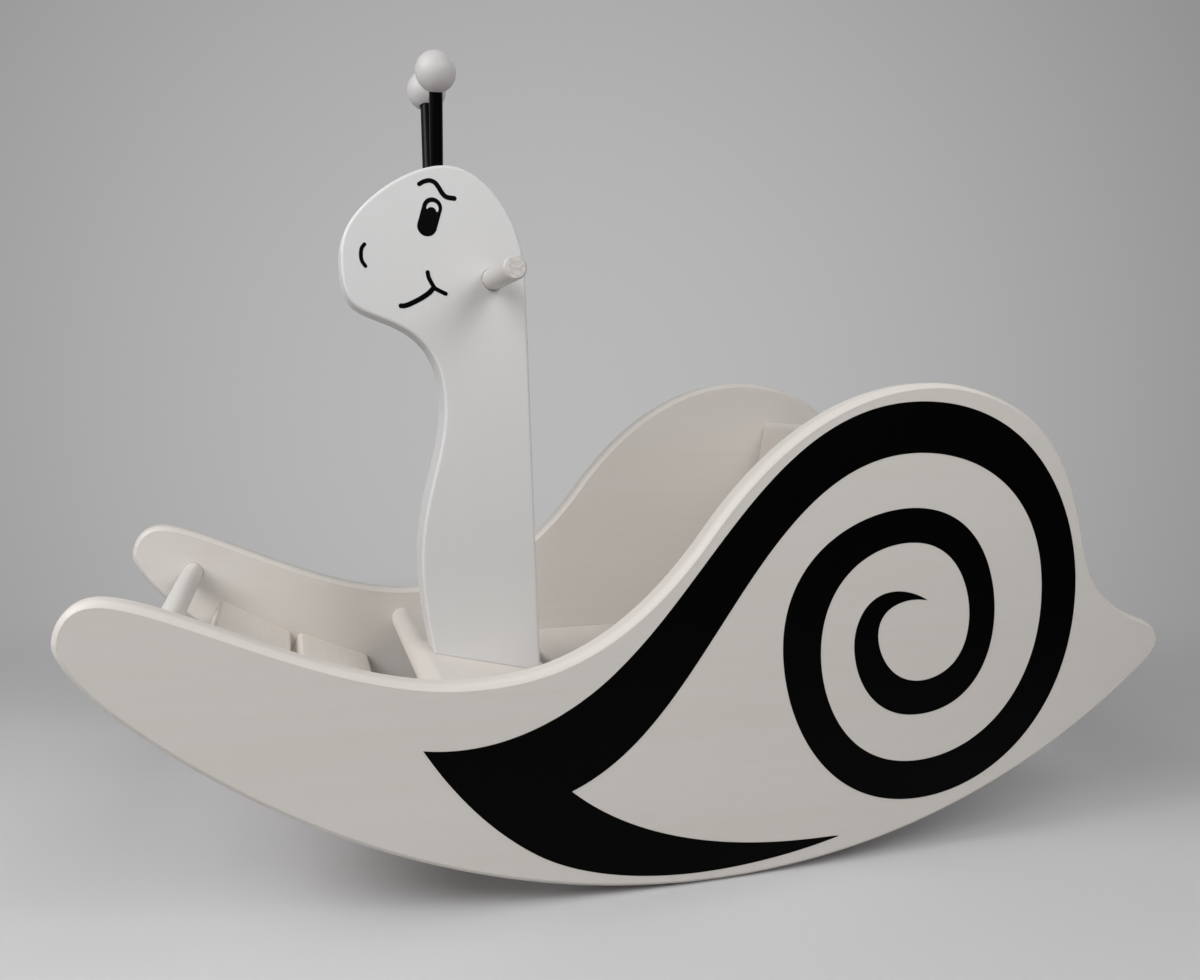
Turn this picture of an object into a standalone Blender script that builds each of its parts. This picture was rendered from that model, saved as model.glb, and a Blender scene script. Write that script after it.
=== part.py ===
"""Rocking snail: a ride-on toy of planed wooden boards, round bars and turned balls.

Two side panels carry everything. Their lower edge is the rocker, an arc of one circle. Between them
sit two seat boards, a backrest, two foot slats and a crossbar, all glued and dowelled. The neck
and head are one flat board that stands on the front seat board, with a handle bar through the head
and two feelers on its crown.

Metres, +Z up. The head looks to -X. The origin is on the floor, under the middle of the length.
"""

import math

import bmesh
import bpy
from mathutils import Vector
from mathutils.geometry import interpolate_bezier

# Overall and stock sizes
OVERALL_WIDTH = 0.350
BOARD_THICKNESS = 0.021
EDGE_RADIUS = 0.0035
TOUCH_GAP = 0.0003
BORE_CLEARANCE = 0.0003

# Rocker: one circle that touches the floor at its middle, and the places of its two ends along the length
ROCKER_RADIUS = 0.568
ROCKER_MIDDLE_X = 0.023
ROCKER_FRONT_X = -0.3644
ROCKER_REAR_X = 0.3766
ROCKER_STEPS = 48

# Side panel's upper edge, from the front lobe to the tail: x, z, direction in degrees, reach in, reach out
ROCKER_END_REACH = 0.006
PANEL_TOP_EDGE = [
    (-0.3940, 0.1970, 90.0, 0.0140, 0.0060),
    (-0.3705, 0.2220, 0.0, 0.0190, 0.0370),
    (-0.1540, 0.1550, 0.0, 0.0830, 0.0400),
    (0.0090, 0.2465, 53.0, 0.1070, 0.0550),
    (0.1845, 0.3475, 0.0, 0.0855, 0.0250),
    (0.2955, 0.2900, -59.5, 0.0540, 0.0500),
    (0.3375, 0.1875, -47.0, 0.0350, 0.0120),
    (0.3745, 0.1645, -20.0, 0.0180, 0.0060),
    (0.3940, 0.1470, -90.0, 0.0110, 0.0105),
]

# Neck and head board: front of the foot, then up over the throat, nose, brow and crown, down the back
NECK_THICKNESS = 0.038
NECK_EDGE_RADIUS = 0.004
NECK_FOOT_X = -0.1566
NECK_FOOT_ANGLE = 100.0
NECK_FOOT_REACH = 0.020
NECK_EDGE = [
    (-0.1647, 0.2085, 90.0, 0.0270, 0.0480),
    (-0.1456, 0.3258, 90.0, 0.0350, 0.0160),
    (-0.1670, 0.3812, 141.0, 0.0240, 0.0180),
    (-0.2110, 0.4028, 127.0, 0.0090, 0.0060),
    (-0.2209, 0.4401, 90.0, 0.0115, 0.0140),
    (-0.1940, 0.4865, 39.8, 0.0260, 0.0235),
    (-0.1416, 0.5093, 0.0, 0.0142, 0.0233),
    (-0.0910, 0.4677, -65.4, 0.0224, 0.0234),
    (-0.0809, 0.4004, -88.0, 0.0272, 0.0272),
]
OUTLINE_STEP = 0.013

# Front seat board: the board under the neck, with a full round nose
FRONT_SEAT_NOSE_X = -0.1622
FRONT_SEAT_NOSE_Z = 0.1272
FRONT_SEAT_SLOPE = -13.5
FRONT_SEAT_DEPTH = 0.1125

# Rear seat board, level
REAR_SEAT_GAP = 0.011
REAR_SEAT_TOP_Z = 0.1085
REAR_SEAT_DEPTH = 0.250

# Backrest, standing on the rear seat board and leaning back
BACKREST_LEAN = 8.5
BACKREST_HEIGHT = 0.2025
BACKREST_SETBACK = 0.002
BACKREST_TOP_RADIUS = 0.008

# Foot slats, each placed by its front upper corner
SLAT_DEPTH = 0.067
FRONT_SLAT_X = -0.3205
FRONT_SLAT_Z = 0.1540
FRONT_SLAT_SLOPE = -30.0
REAR_SLAT_X = -0.2560
REAR_SLAT_Z = 0.1203
REAR_SLAT_SLOPE = -23.0

# Round stock of the handle bar and the crossbar
BAR_DIAMETER = 0.017

# Crossbar at the front, let into blind sockets in the panels
CROSSBAR_SOCKET_DEPTH = 0.010
CROSSBAR_X = -0.3449
CROSSBAR_Z = 0.1800

# Handle bar through the head
HANDLE_LENGTH = 0.200
HANDLE_X = -0.1076
HANDLE_Z = 0.4262
HANDLE_CHAMFER = 0.0015

# Feelers: a stalk and a ball on each side, their feet staggered along the crown
BALL_DIAMETER = 0.030
BALL_X = -0.1504
BALL_Z = 0.5742
BALL_SPREAD = 0.026
STALK_DIAMETER = 0.010
STALK_FOOT_X = -0.1498
STALK_FOOT_STAGGER = 0.0021
STALK_FOOT_Y = 0.0052
STALK_IN_BALL = 0.012
STALK_TENON_DIAMETER = 0.0045
STALK_TENON_LENGTH = 0.010

# Hidden dowel pins between the boards' ends and the panels
PIN_DIAMETER = 0.008
PIN_LENGTH = 0.040
PIN_IN_PANEL = 0.012
PIN_END_ROOM = 0.0005
SEAT_PIN_SETBACK = 0.030
SLAT_PIN_SETBACK = 0.016
BACKREST_PIN_SETBACK = 0.035

# Wood screws that hold the neck board from beneath the front seat board
SCREW_DIAMETER = 0.005
SCREW_HEAD_DIAMETER = 0.0095
SCREW_HEAD_HEIGHT = 0.003
SCREW_LENGTH = 0.055
SCREW_POINT_LENGTH = 0.006
SCREW_SETBACK = 0.022
SCREW_SINK = 0.0005

# Facets
BAR_SIDES = 24
STALK_SIDES = 16
PIN_SIDES = 12
BALL_RINGS = 14
CORNER_STEPS = 3
NOSE_STEPS = 5
CUTTER_OVERRUN = 0.002

PANEL_INNER_Y = OVERALL_WIDTH / 2 - BOARD_THICKNESS
BOARD_END_Y = PANEL_INNER_Y - TOUCH_GAP


def clear_scene():
    for scene_object in list(bpy.data.objects):
        bpy.data.objects.remove(scene_object, do_unlink=True)


def make_material(name, colour, roughness, metallic=0.0):
    material = bpy.data.materials.new(name)
    material.use_nodes = True
    shader = material.node_tree.nodes["Principled BSDF"]
    shader.inputs["Base Color"].default_value = (*colour, 1.0)
    shader.inputs["Roughness"].default_value = roughness
    shader.inputs["Metallic"].default_value = metallic
    return material


def white_glaze():
    return make_material("white_glaze", (0.76, 0.74, 0.70), 0.45)


def black_lacquer():
    return make_material("black_lacquer", (0.012, 0.012, 0.013), 0.2)


def bare_beech():
    return make_material("bare_beech", (0.60, 0.42, 0.26), 0.6)


def zinc_steel():
    return make_material("zinc_steel", (0.62, 0.62, 0.60), 0.35, 1.0)


def object_from_bmesh(name, shape, material, parent=None):
    """One object from a bmesh, its faces pointing out and its round faces smooth."""
    bmesh.ops.recalc_face_normals(shape, faces=shape.faces[:])
    mesh = bpy.data.meshes.new(name)
    shape.to_mesh(mesh)
    shape.free()
    if material:
        mesh.materials.append(material)
    mesh.shade_smooth()
    mesh.set_sharp_from_angle(angle=math.radians(35))
    made = bpy.data.objects.new(name, mesh)
    bpy.context.scene.collection.objects.link(made)
    made.parent = parent
    return made


def hide_helper(helper):
    helper.hide_render = True
    helper.display_type = "WIRE"


def turn_out(shape, start, end, profile, sides):
    """Adds a turned body to a bmesh. The profile gives distance from start and radius, pole to pole."""
    axis = (end - start).normalized()
    across = axis.orthogonal().normalized()
    beside = axis.cross(across)
    rings = []
    for distance, radius in profile:
        centre = start + axis * distance
        if radius == 0.0:
            rings.append([shape.verts.new(centre)])
            continue
        ring = []
        for side in range(sides):
            angle = 2 * math.pi * (side + 0.5) / sides
            ring.append(shape.verts.new(centre + radius * (math.cos(angle) * across + math.sin(angle) * beside)))
        rings.append(ring)
    for lower, upper in zip(rings, rings[1:]):
        for side in range(sides):
            after = (side + 1) % sides
            if len(lower) == 1:
                shape.faces.new((lower[0], upper[after], upper[side]))
            elif len(upper) == 1:
                shape.faces.new((lower[side], lower[after], upper[0]))
            else:
                shape.faces.new((lower[side], lower[after], upper[after], upper[side]))
    if len(rings[0]) > 1:
        shape.faces.new(list(reversed(rings[0])))
    if len(rings[-1]) > 1:
        shape.faces.new(rings[-1])


def turned_object(name, start, end, profile, sides, material, parent):
    shape = bmesh.new()
    turn_out(shape, start, end, profile, sides)
    return object_from_bmesh(name, shape, material, parent)


def bar_profile(length, radius, chamfer):
    if chamfer == 0.0:
        return [(0.0, radius), (length, radius)]
    return [
        (0.0, radius - chamfer),
        (chamfer, radius),
        (length - chamfer, radius),
        (length, radius - chamfer),
    ]


def drill(workpiece, bores):
    """Cuts round holes: each bore is its start, its end, its radius and its number of sides."""
    shape = bmesh.new()
    for start, end, radius, sides in bores:
        turn_out(shape, start, end, [(0.0, radius), ((end - start).length, radius)], sides)
    cutter = object_from_bmesh(workpiece.name + "_drill", shape, None, workpiece.parent)
    hide_helper(cutter)
    cut = workpiece.modifiers.new("drilled", "BOOLEAN")
    cut.operation = "DIFFERENCE"
    cut.solver = "EXACT"
    cut.object = cutter


def round_edges(workpiece):
    bevel = workpiece.modifiers.new("rounded_edges", "BEVEL")
    bevel.width = EDGE_RADIUS
    bevel.segments = 2
    bevel.limit_method = "ANGLE"
    bevel.angle_limit = math.radians(50)
    bevel.use_clamp_overlap = False


def round_rims(board, radius):
    """Rounds the edges around a board's two flat faces, but not those of its last outline stretch."""
    mesh = board.data
    weights = mesh.attributes.new("bevel_weight_edge", "FLOAT", "EDGE")
    count = len(mesh.vertices) // 2
    for edge in mesh.edges:
        first, second = sorted(edge.vertices)
        in_one_face = (first < count) == (second < count)
        closing = second - first == count - 1
        weights.data[edge.index].value = 1.0 if in_one_face and not closing else 0.0
    bevel = board.modifiers.new("rounded_rims", "BEVEL")
    bevel.width = radius
    bevel.segments = 3
    bevel.limit_method = "WEIGHT"
    bevel.use_clamp_overlap = False


def smooth_outline(knots):
    """Points of a smooth line through knots of x, z, direction, reach in and reach out."""
    points = []
    for first, second in zip(knots, knots[1:]):
        leave = math.radians(first[2])
        arrive = math.radians(second[2])
        start = Vector((first[0], first[1]))
        finish = Vector((second[0], second[1]))
        leave_handle = start + first[4] * Vector((math.cos(leave), math.sin(leave)))
        arrive_handle = finish - second[3] * Vector((math.cos(arrive), math.sin(arrive)))
        steps = max(4, round((finish - start).length / OUTLINE_STEP))
        span = interpolate_bezier(start, leave_handle, arrive_handle, finish, steps + 1)
        points.extend(span[:-1])
    points.append(Vector(knots[-1][:2]))
    return points


def flat_board(name, outline, low_y, high_y, material, parent):
    """A flat board: its outline in X and Z, its thickness or length along Y."""
    shape = bmesh.new()
    corners = [shape.verts.new((point[0], low_y, point[1])) for point in outline]
    face = shape.faces.new(corners)
    grown = bmesh.ops.extrude_face_region(shape, geom=[face])
    moved = [item for item in grown["geom"] if isinstance(item, bmesh.types.BMVert)]
    bmesh.ops.translate(shape, verts=moved, vec=(0.0, high_y - low_y, 0.0))
    return object_from_bmesh(name, shape, material, parent)


def rounded_polygon(corners, radii, steps):
    """A polygon's outline with each corner rounded by its own radius."""
    outline = []
    count = len(corners)
    for index in range(count):
        corner = corners[index]
        radius = radii[index]
        if radius == 0.0:
            outline.append(corner)
            continue
        back = (corners[index - 1] - corner).normalized()
        ahead = (corners[(index + 1) % count] - corner).normalized()
        half = back.angle(ahead) / 2
        reach = radius / math.tan(half)
        centre = corner + (back + ahead).normalized() * (radius / math.sin(half))
        start = corner + back * reach - centre
        finish = corner + ahead * reach - centre
        for step in range(steps + 1):
            share = step / steps
            sweep = math.pi - 2 * half
            from_start = math.sin((1 - share) * sweep) / math.sin(sweep)
            from_finish = math.sin(share * sweep) / math.sin(sweep)
            point = centre + start * from_start + finish * from_finish
            if not outline or (point - outline[-1]).length > EDGE_RADIUS / 100:
                outline.append(point)
    if (outline[0] - outline[-1]).length < EDGE_RADIUS / 100:
        outline.pop()
    return outline


def along(slope):
    """Unit vector down a board's upper face, towards the rear."""
    return Vector((math.cos(math.radians(slope)), math.sin(math.radians(slope))))


def upright(slope):
    """Unit vector out of a board's upper face."""
    return Vector((-math.sin(math.radians(slope)), math.cos(math.radians(slope))))


class Board:
    """A cross board's place: its front upper corner, its slope, its depth from front to rear."""

    def __init__(self, front_x, front_z, slope, depth):
        self.corner = Vector((front_x, front_z))
        self.along = along(slope)
        self.up = upright(slope)
        self.depth = depth

    def point(self, distance, below=0.0):
        """A point at a distance from the front and a depth below the upper face."""
        return self.corner + self.along * distance - self.up * below

    def corners(self):
        return [
            self.point(0.0),
            self.point(self.depth),
            self.point(self.depth, BOARD_THICKNESS),
            self.point(0.0, BOARD_THICKNESS),
        ]

    def pins(self, setback):
        middle = BOARD_THICKNESS / 2
        return [self.point(setback, middle), self.point(self.depth - setback, middle)]


def place_front_seat():
    """The seat board under the neck is placed by the centre of its round nose."""
    half = BOARD_THICKNESS / 2
    nose = Vector((FRONT_SEAT_NOSE_X, FRONT_SEAT_NOSE_Z))
    corner = nose + upright(FRONT_SEAT_SLOPE) * half - along(FRONT_SEAT_SLOPE) * half
    return Board(corner.x, corner.y, FRONT_SEAT_SLOPE, FRONT_SEAT_DEPTH)


FRONT_SEAT = place_front_seat()
REAR_SEAT = Board(FRONT_SEAT.point(FRONT_SEAT_DEPTH).x + REAR_SEAT_GAP, REAR_SEAT_TOP_Z, 0.0, REAR_SEAT_DEPTH)
FRONT_SLAT = Board(FRONT_SLAT_X, FRONT_SLAT_Z, FRONT_SLAT_SLOPE, SLAT_DEPTH)
REAR_SLAT = Board(REAR_SLAT_X, REAR_SLAT_Z, REAR_SLAT_SLOPE, SLAT_DEPTH)


def backrest_corners():
    """Front foot, front top, rear top and rear foot. The foot is cut to lie on the rear seat board."""
    lean = math.radians(BACKREST_LEAN)
    rise = Vector((math.sin(lean), math.cos(lean)))
    seat_rear = REAR_SEAT.point(REAR_SEAT_DEPTH)
    foot_width = BOARD_THICKNESS / math.cos(lean)
    rear_foot = Vector((seat_rear.x - BACKREST_SETBACK, seat_rear.y + TOUCH_GAP))
    front_foot = rear_foot - Vector((foot_width, 0.0))
    front_top = front_foot + rise * BACKREST_HEIGHT
    rear_top = front_top + BOARD_THICKNESS * Vector((math.cos(lean), -math.sin(lean)))
    return [front_foot, front_top, rear_top, rear_foot]


def backrest_pins():
    front_foot, front_top, rear_top, rear_foot = backrest_corners()
    foot = (front_foot + rear_foot) / 2
    top = (front_top + rear_top) / 2
    rise = (front_top - front_foot).normalized()
    return [foot + rise * BACKREST_PIN_SETBACK, top - rise * BACKREST_PIN_SETBACK]


def pin_places():
    """Every pin's name without its side, with its x and z."""
    places = {}
    for name, spots in (
        ("front_seat_pin", FRONT_SEAT.pins(SEAT_PIN_SETBACK)),
        ("rear_seat_pin", REAR_SEAT.pins(SEAT_PIN_SETBACK)),
        ("front_slat_pin", FRONT_SLAT.pins(SLAT_PIN_SETBACK)),
        ("rear_slat_pin", REAR_SLAT.pins(SLAT_PIN_SETBACK)),
    ):
        places[name + "_fore"] = spots[0]
        places[name + "_aft"] = spots[1]
    places["backrest_pin_low"], places["backrest_pin_high"] = backrest_pins()
    return places


def rocker_angle(x):
    """Turn in degrees from straight down to the rocker's point at x."""
    return math.degrees(math.asin((x - ROCKER_MIDDLE_X) / ROCKER_RADIUS))


def rocker_point(angle):
    turn = math.radians(angle)
    return Vector((
        ROCKER_MIDDLE_X + ROCKER_RADIUS * math.sin(turn),
        ROCKER_RADIUS - ROCKER_RADIUS * math.cos(turn),
    ))


def panel_outline():
    front_angle = rocker_angle(ROCKER_FRONT_X)
    rear_angle = rocker_angle(ROCKER_REAR_X)
    front = rocker_point(front_angle)
    rear = rocker_point(rear_angle)
    knots = [(front.x, front.y, 180.0 + front_angle, 0.0, ROCKER_END_REACH)]
    knots += PANEL_TOP_EDGE
    knots += [(rear.x, rear.y, 180.0 + rear_angle, ROCKER_END_REACH, 0.0)]
    outline = smooth_outline(knots)
    for step in range(1, ROCKER_STEPS):
        outline.append(rocker_point(rear_angle + (front_angle - rear_angle) * step / ROCKER_STEPS))
    return outline


def side_panel(name, side, material, parent):
    """A side panel. Side is -1 for the left one and +1 for the right one."""
    outer = side * OVERALL_WIDTH / 2
    inner = side * PANEL_INNER_Y
    panel = flat_board(name, panel_outline(), min(outer, inner), max(outer, inner), material, parent)
    round_edges(panel)
    bores = []
    for spot in pin_places().values():
        mouth = Vector((spot.x, inner - side * CUTTER_OVERRUN, spot.y))
        bottom = Vector((spot.x, inner + side * (PIN_IN_PANEL + PIN_END_ROOM), spot.y))
        bores.append((mouth, bottom, PIN_DIAMETER / 2 + BORE_CLEARANCE, PIN_SIDES))
    mouth = Vector((CROSSBAR_X, inner - side * CUTTER_OVERRUN, CROSSBAR_Z))
    bottom = Vector((CROSSBAR_X, inner + side * (CROSSBAR_SOCKET_DEPTH + TOUCH_GAP), CROSSBAR_Z))
    bores.append((mouth, bottom, BAR_DIAMETER / 2 + BORE_CLEARANCE, BAR_SIDES))
    drill(panel, bores)


def cross_board(name, outline, pins, material, parent):
    """A board across the inside, with a pair of pin bores in each end."""
    board = flat_board(name, outline, -BOARD_END_Y, BOARD_END_Y, material, parent)
    bore_depth = PIN_LENGTH - PIN_IN_PANEL - TOUCH_GAP + PIN_END_ROOM
    bores = []
    for side in (-1, 1):
        for spot in pins:
            mouth = Vector((spot.x, side * (BOARD_END_Y + CUTTER_OVERRUN), spot.y))
            bottom = Vector((spot.x, side * (BOARD_END_Y - bore_depth), spot.y))
            bores.append((mouth, bottom, PIN_DIAMETER / 2 + BORE_CLEARANCE, PIN_SIDES))
    return board, bores


def front_seat_board(material, parent):
    half = BOARD_THICKNESS / 2
    outline = rounded_polygon(FRONT_SEAT.corners(), [half, EDGE_RADIUS, EDGE_RADIUS, half], NOSE_STEPS)
    board, bores = cross_board(
        "front_seat_board", outline, FRONT_SEAT.pins(SEAT_PIN_SETBACK), material, parent)
    for foot in screw_feet():
        shank_top = foot + seat_normal() * CUTTER_OVERRUN
        shank_low = foot - seat_normal() * (BOARD_THICKNESS + CUTTER_OVERRUN)
        bores.append((shank_low, shank_top, SCREW_DIAMETER / 2 + BORE_CLEARANCE, PIN_SIDES))
    drill(board, bores)
    countersink(board)


def countersink(board):
    """Two cones under the board that take the screws' heads."""
    shape = bmesh.new()
    for foot in screw_feet():
        low = foot - seat_normal() * BOARD_THICKNESS
        head = SCREW_HEAD_DIAMETER / 2 + BORE_CLEARANCE
        shank = SCREW_DIAMETER / 2 + BORE_CLEARANCE
        start = low - seat_normal() * CUTTER_OVERRUN
        profile = [
            (0.0, head),
            (CUTTER_OVERRUN + SCREW_SINK, head),
            (CUTTER_OVERRUN + SCREW_SINK + SCREW_HEAD_HEIGHT, shank),
            (CUTTER_OVERRUN + SCREW_SINK + 2 * SCREW_HEAD_HEIGHT, shank),
        ]
        turn_out(shape, start, foot, profile, PIN_SIDES)
    cutter = object_from_bmesh("countersink_drill", shape, None, board.parent)
    hide_helper(cutter)
    cut = board.modifiers.new("countersunk", "BOOLEAN")
    cut.operation = "DIFFERENCE"
    cut.solver = "EXACT"
    cut.object = cutter


def rear_seat_board(material, parent):
    outline = rounded_polygon(REAR_SEAT.corners(), [EDGE_RADIUS] * 4, CORNER_STEPS)
    board, bores = cross_board("rear_seat_board", outline, REAR_SEAT.pins(SEAT_PIN_SETBACK), material, parent)
    drill(board, bores)


def backrest_board(material, parent):
    radii = [0.0, BACKREST_TOP_RADIUS, BACKREST_TOP_RADIUS, 0.0]
    outline = rounded_polygon(backrest_corners(), radii, CORNER_STEPS)
    board, bores = cross_board("backrest_board", outline, backrest_pins(), material, parent)
    drill(board, bores)


def foot_slat(name, place, material, parent):
    outline = rounded_polygon(place.corners(), [EDGE_RADIUS] * 4, CORNER_STEPS)
    board, bores = cross_board(name, outline, place.pins(SLAT_PIN_SETBACK), material, parent)
    drill(board, bores)


def crossbar(material, parent):
    end_y = PANEL_INNER_Y + CROSSBAR_SOCKET_DEPTH
    start = Vector((CROSSBAR_X, -end_y, CROSSBAR_Z))
    end = Vector((CROSSBAR_X, end_y, CROSSBAR_Z))
    profile = bar_profile(2 * end_y, BAR_DIAMETER / 2, 0.0)
    turned_object("crossbar", start, end, profile, BAR_SIDES, material, parent)


def dowel_pins(material, parent):
    """One pin for each bore pair: partly in the panel, the rest in the board's end."""
    for side, side_name in ((-1, "left"), (1, "right")):
        for name, spot in pin_places().items():
            outer = Vector((spot.x, side * (PANEL_INNER_Y + PIN_IN_PANEL), spot.y))
            inner = outer - Vector((0.0, side * PIN_LENGTH, 0.0))
            profile = bar_profile(PIN_LENGTH, PIN_DIAMETER / 2, 0.0)
            turned_object(name + "_" + side_name, outer, inner, profile, PIN_SIDES, material, parent)


def seat_normal():
    up = FRONT_SEAT.up
    return Vector((up.x, 0.0, up.y))


def seat_surface_z(x):
    """Height of the front seat board's upper face at x, plus the gap that the neck keeps to it."""
    slope = FRONT_SEAT.along.y / FRONT_SEAT.along.x
    start = FRONT_SEAT.corner + FRONT_SEAT.up * TOUCH_GAP
    return start.y + slope * (x - start.x)


def neck_rear_foot():
    """Where the straight back of the neck meets the front seat board."""
    x, z, direction = NECK_EDGE[-1][:3]
    turn = math.radians(direction)
    slope = FRONT_SEAT.along.y / FRONT_SEAT.along.x
    drop = (z - seat_surface_z(x)) / (slope * math.cos(turn) - math.sin(turn))
    return Vector((x + drop * math.cos(turn), z + drop * math.sin(turn)))


def neck_outline():
    foot = (NECK_FOOT_X, seat_surface_z(NECK_FOOT_X), NECK_FOOT_ANGLE, 0.0, NECK_FOOT_REACH)
    outline = smooth_outline([foot] + NECK_EDGE)
    outline.append(neck_rear_foot())
    return outline


def screw_feet():
    """Points on the front seat board's upper face that the screws' axes pass through."""
    front = Vector((NECK_FOOT_X, seat_surface_z(NECK_FOOT_X)))
    rear = neck_rear_foot()
    step = (rear - front).normalized() * SCREW_SETBACK
    on_face = FRONT_SEAT.up * TOUCH_GAP
    spots = (front + step - on_face, rear - step - on_face)
    return [Vector((spot.x, 0.0, spot.y)) for spot in spots]


def screw_start(foot):
    """The outer end of a screw's head, just inside the board's lower face."""
    return foot - seat_normal() * (BOARD_THICKNESS - SCREW_SINK - TOUCH_GAP)


def neck_board(material, parent):
    half = NECK_THICKNESS / 2
    board = flat_board("neck_board", neck_outline(), -half, half, material, parent)
    round_rims(board, NECK_EDGE_RADIUS)
    bores = []
    handle_radius = BAR_DIAMETER / 2 + BORE_CLEARANCE
    handle_reach = half + CUTTER_OVERRUN
    handle_start = Vector((HANDLE_X, -handle_reach, HANDLE_Z))
    handle_end = Vector((HANDLE_X, handle_reach, HANDLE_Z))
    bores.append((handle_start, handle_end, handle_radius, BAR_SIDES))
    for foot in screw_feet():
        deep = screw_start(foot) + seat_normal() * (SCREW_LENGTH + TOUCH_GAP)
        low = foot - seat_normal() * CUTTER_OVERRUN
        bores.append((low, deep, SCREW_DIAMETER / 2 + BORE_CLEARANCE, PIN_SIDES))
    for side in (-1, 1):
        foot, axis, normal = stalk_foot(side)
        mouth = foot + axis * CUTTER_OVERRUN
        deep = foot - axis * (STALK_TENON_LENGTH + TOUCH_GAP)
        bores.append((mouth, deep, STALK_TENON_DIAMETER / 2 + BORE_CLEARANCE, PIN_SIDES))
    drill(board, bores)


def neck_screws(material, parent):
    """Two countersunk screws, head down, up through the seat board into the neck."""
    for name, foot in zip(("neck_screw_front", "neck_screw_rear"), screw_feet()):
        start = screw_start(foot)
        end = start + seat_normal() * SCREW_LENGTH
        profile = [
            (0.0, SCREW_HEAD_DIAMETER / 2),
            (SCREW_HEAD_HEIGHT, SCREW_DIAMETER / 2),
            (SCREW_LENGTH - SCREW_POINT_LENGTH, SCREW_DIAMETER / 2),
            (SCREW_LENGTH, 0.0),
        ]
        turned_object(name, start, end, profile, PIN_SIDES, material, parent)


def handle_bar(material, parent):
    half = HANDLE_LENGTH / 2
    start = Vector((HANDLE_X, -half, HANDLE_Z))
    end = Vector((HANDLE_X, half, HANDLE_Z))
    profile = bar_profile(HANDLE_LENGTH, BAR_DIAMETER / 2, HANDLE_CHAMFER)
    turned_object("handle_bar", start, end, profile, BAR_SIDES, material, parent)


def crown_at(x):
    """The crown's surface point above x and its normal, read between two points of its outline."""
    outline = neck_outline()
    for first, second in zip(outline, outline[1:]):
        if first.x <= x <= second.x and first.y > HANDLE_Z:
            share = (x - first.x) / (second.x - first.x)
            run = (second - first).normalized()
            return first.lerp(second, share), Vector((-run.y, run.x))
    return Vector((x, NECK_EDGE[-3][1])), Vector((0.0, 1.0))


def ball_centre(side):
    return Vector((BALL_X, side * BALL_SPREAD, BALL_Z))


def stalk_foot(side):
    """A stalk's foot on the crown, the direction up its axis and the crown's normal there."""
    point, normal = crown_at(STALK_FOOT_X - side * STALK_FOOT_STAGGER)
    foot = Vector((point.x, side * STALK_FOOT_Y, point.y))
    axis = (ball_centre(side) - foot).normalized()
    return foot, axis, Vector((normal.x, 0.0, normal.y))


def feeler_stalk(name, side, material, parent):
    """A round stalk, its foot cut to lie on the crown, with a thin tenon let into the head."""
    foot, axis, normal = stalk_foot(side)
    radius = STALK_DIAMETER / 2
    top = ball_centre(side) - axis * (BALL_DIAMETER / 2 - STALK_IN_BALL)
    low = foot - axis * STALK_DIAMETER
    shape = bmesh.new()
    turn_out(shape, low, top, bar_profile((top - low).length, radius, 0.0), STALK_SIDES)
    everything = shape.verts[:] + shape.edges[:] + shape.faces[:]
    plane = foot + normal * TOUCH_GAP
    cut = bmesh.ops.bisect_plane(
        shape, geom=everything, dist=TOUCH_GAP / 100, plane_co=plane, plane_no=normal, clear_inner=True)
    rim = [item for item in cut["geom_cut"] if isinstance(item, bmesh.types.BMEdge)]
    bmesh.ops.contextual_create(shape, geom=rim)
    stalk = object_from_bmesh(name, shape, material, parent)
    tenon_start = foot - axis * STALK_TENON_LENGTH
    tenon_end = foot + axis * radius
    tenon_shape = bmesh.new()
    length = (tenon_end - tenon_start).length
    turn_out(tenon_shape, tenon_start, tenon_end, bar_profile(length, STALK_TENON_DIAMETER / 2, 0.0), PIN_SIDES)
    tenon = object_from_bmesh(name + "_tenon", tenon_shape, material, parent)
    hide_helper(tenon)
    join = stalk.modifiers.new("tenon", "BOOLEAN")
    join.operation = "UNION"
    join.solver = "EXACT"
    join.object = tenon


def feeler_ball(name, side, material, parent):
    """A turned ball with a blind bore for the end of its stalk."""
    foot, axis, normal = stalk_foot(side)
    centre = ball_centre(side)
    radius = BALL_DIAMETER / 2
    profile = []
    for ring in range(BALL_RINGS + 1):
        angle = math.pi * ring / BALL_RINGS
        ring_radius = 0.0 if ring in (0, BALL_RINGS) else radius * math.sin(angle)
        profile.append((radius - radius * math.cos(angle), ring_radius))
    ball = turned_object(
        name, centre - axis * radius, centre + axis * radius, profile, BAR_SIDES, material, parent)
    mouth = centre - axis * (radius + CUTTER_OVERRUN)
    bottom = centre - axis * (radius - STALK_IN_BALL - TOUCH_GAP)
    drill(ball, [(mouth, bottom, STALK_DIAMETER / 2 + BORE_CLEARANCE, STALK_SIDES)])


def build():
    clear_scene()
    toy = bpy.data.objects.new("rocking_snail", None)
    bpy.context.scene.collection.objects.link(toy)
    glaze = white_glaze()
    black = black_lacquer()
    side_panel("left_side_panel", -1, glaze, toy)
    side_panel("right_side_panel", 1, glaze, toy)
    front_seat_board(glaze, toy)
    rear_seat_board(glaze, toy)
    backrest_board(glaze, toy)
    foot_slat("front_foot_slat", FRONT_SLAT, glaze, toy)
    foot_slat("rear_foot_slat", REAR_SLAT, glaze, toy)
    crossbar(glaze, toy)
    dowel_pins(bare_beech(), toy)
    neck_board(glaze, toy)
    neck_screws(zinc_steel(), toy)
    handle_bar(glaze, toy)
    feeler_stalk("left_feeler_stalk", -1, black, toy)
    feeler_stalk("right_feeler_stalk", 1, black, toy)
    feeler_ball("left_feeler_ball", -1, glaze, toy)
    feeler_ball("right_feeler_ball", 1, glaze, toy)


build()
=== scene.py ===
"""Rocking snail: a ride-on toy of planed boards and round bars, glazed white, with a black shell and face."""

import math

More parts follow.
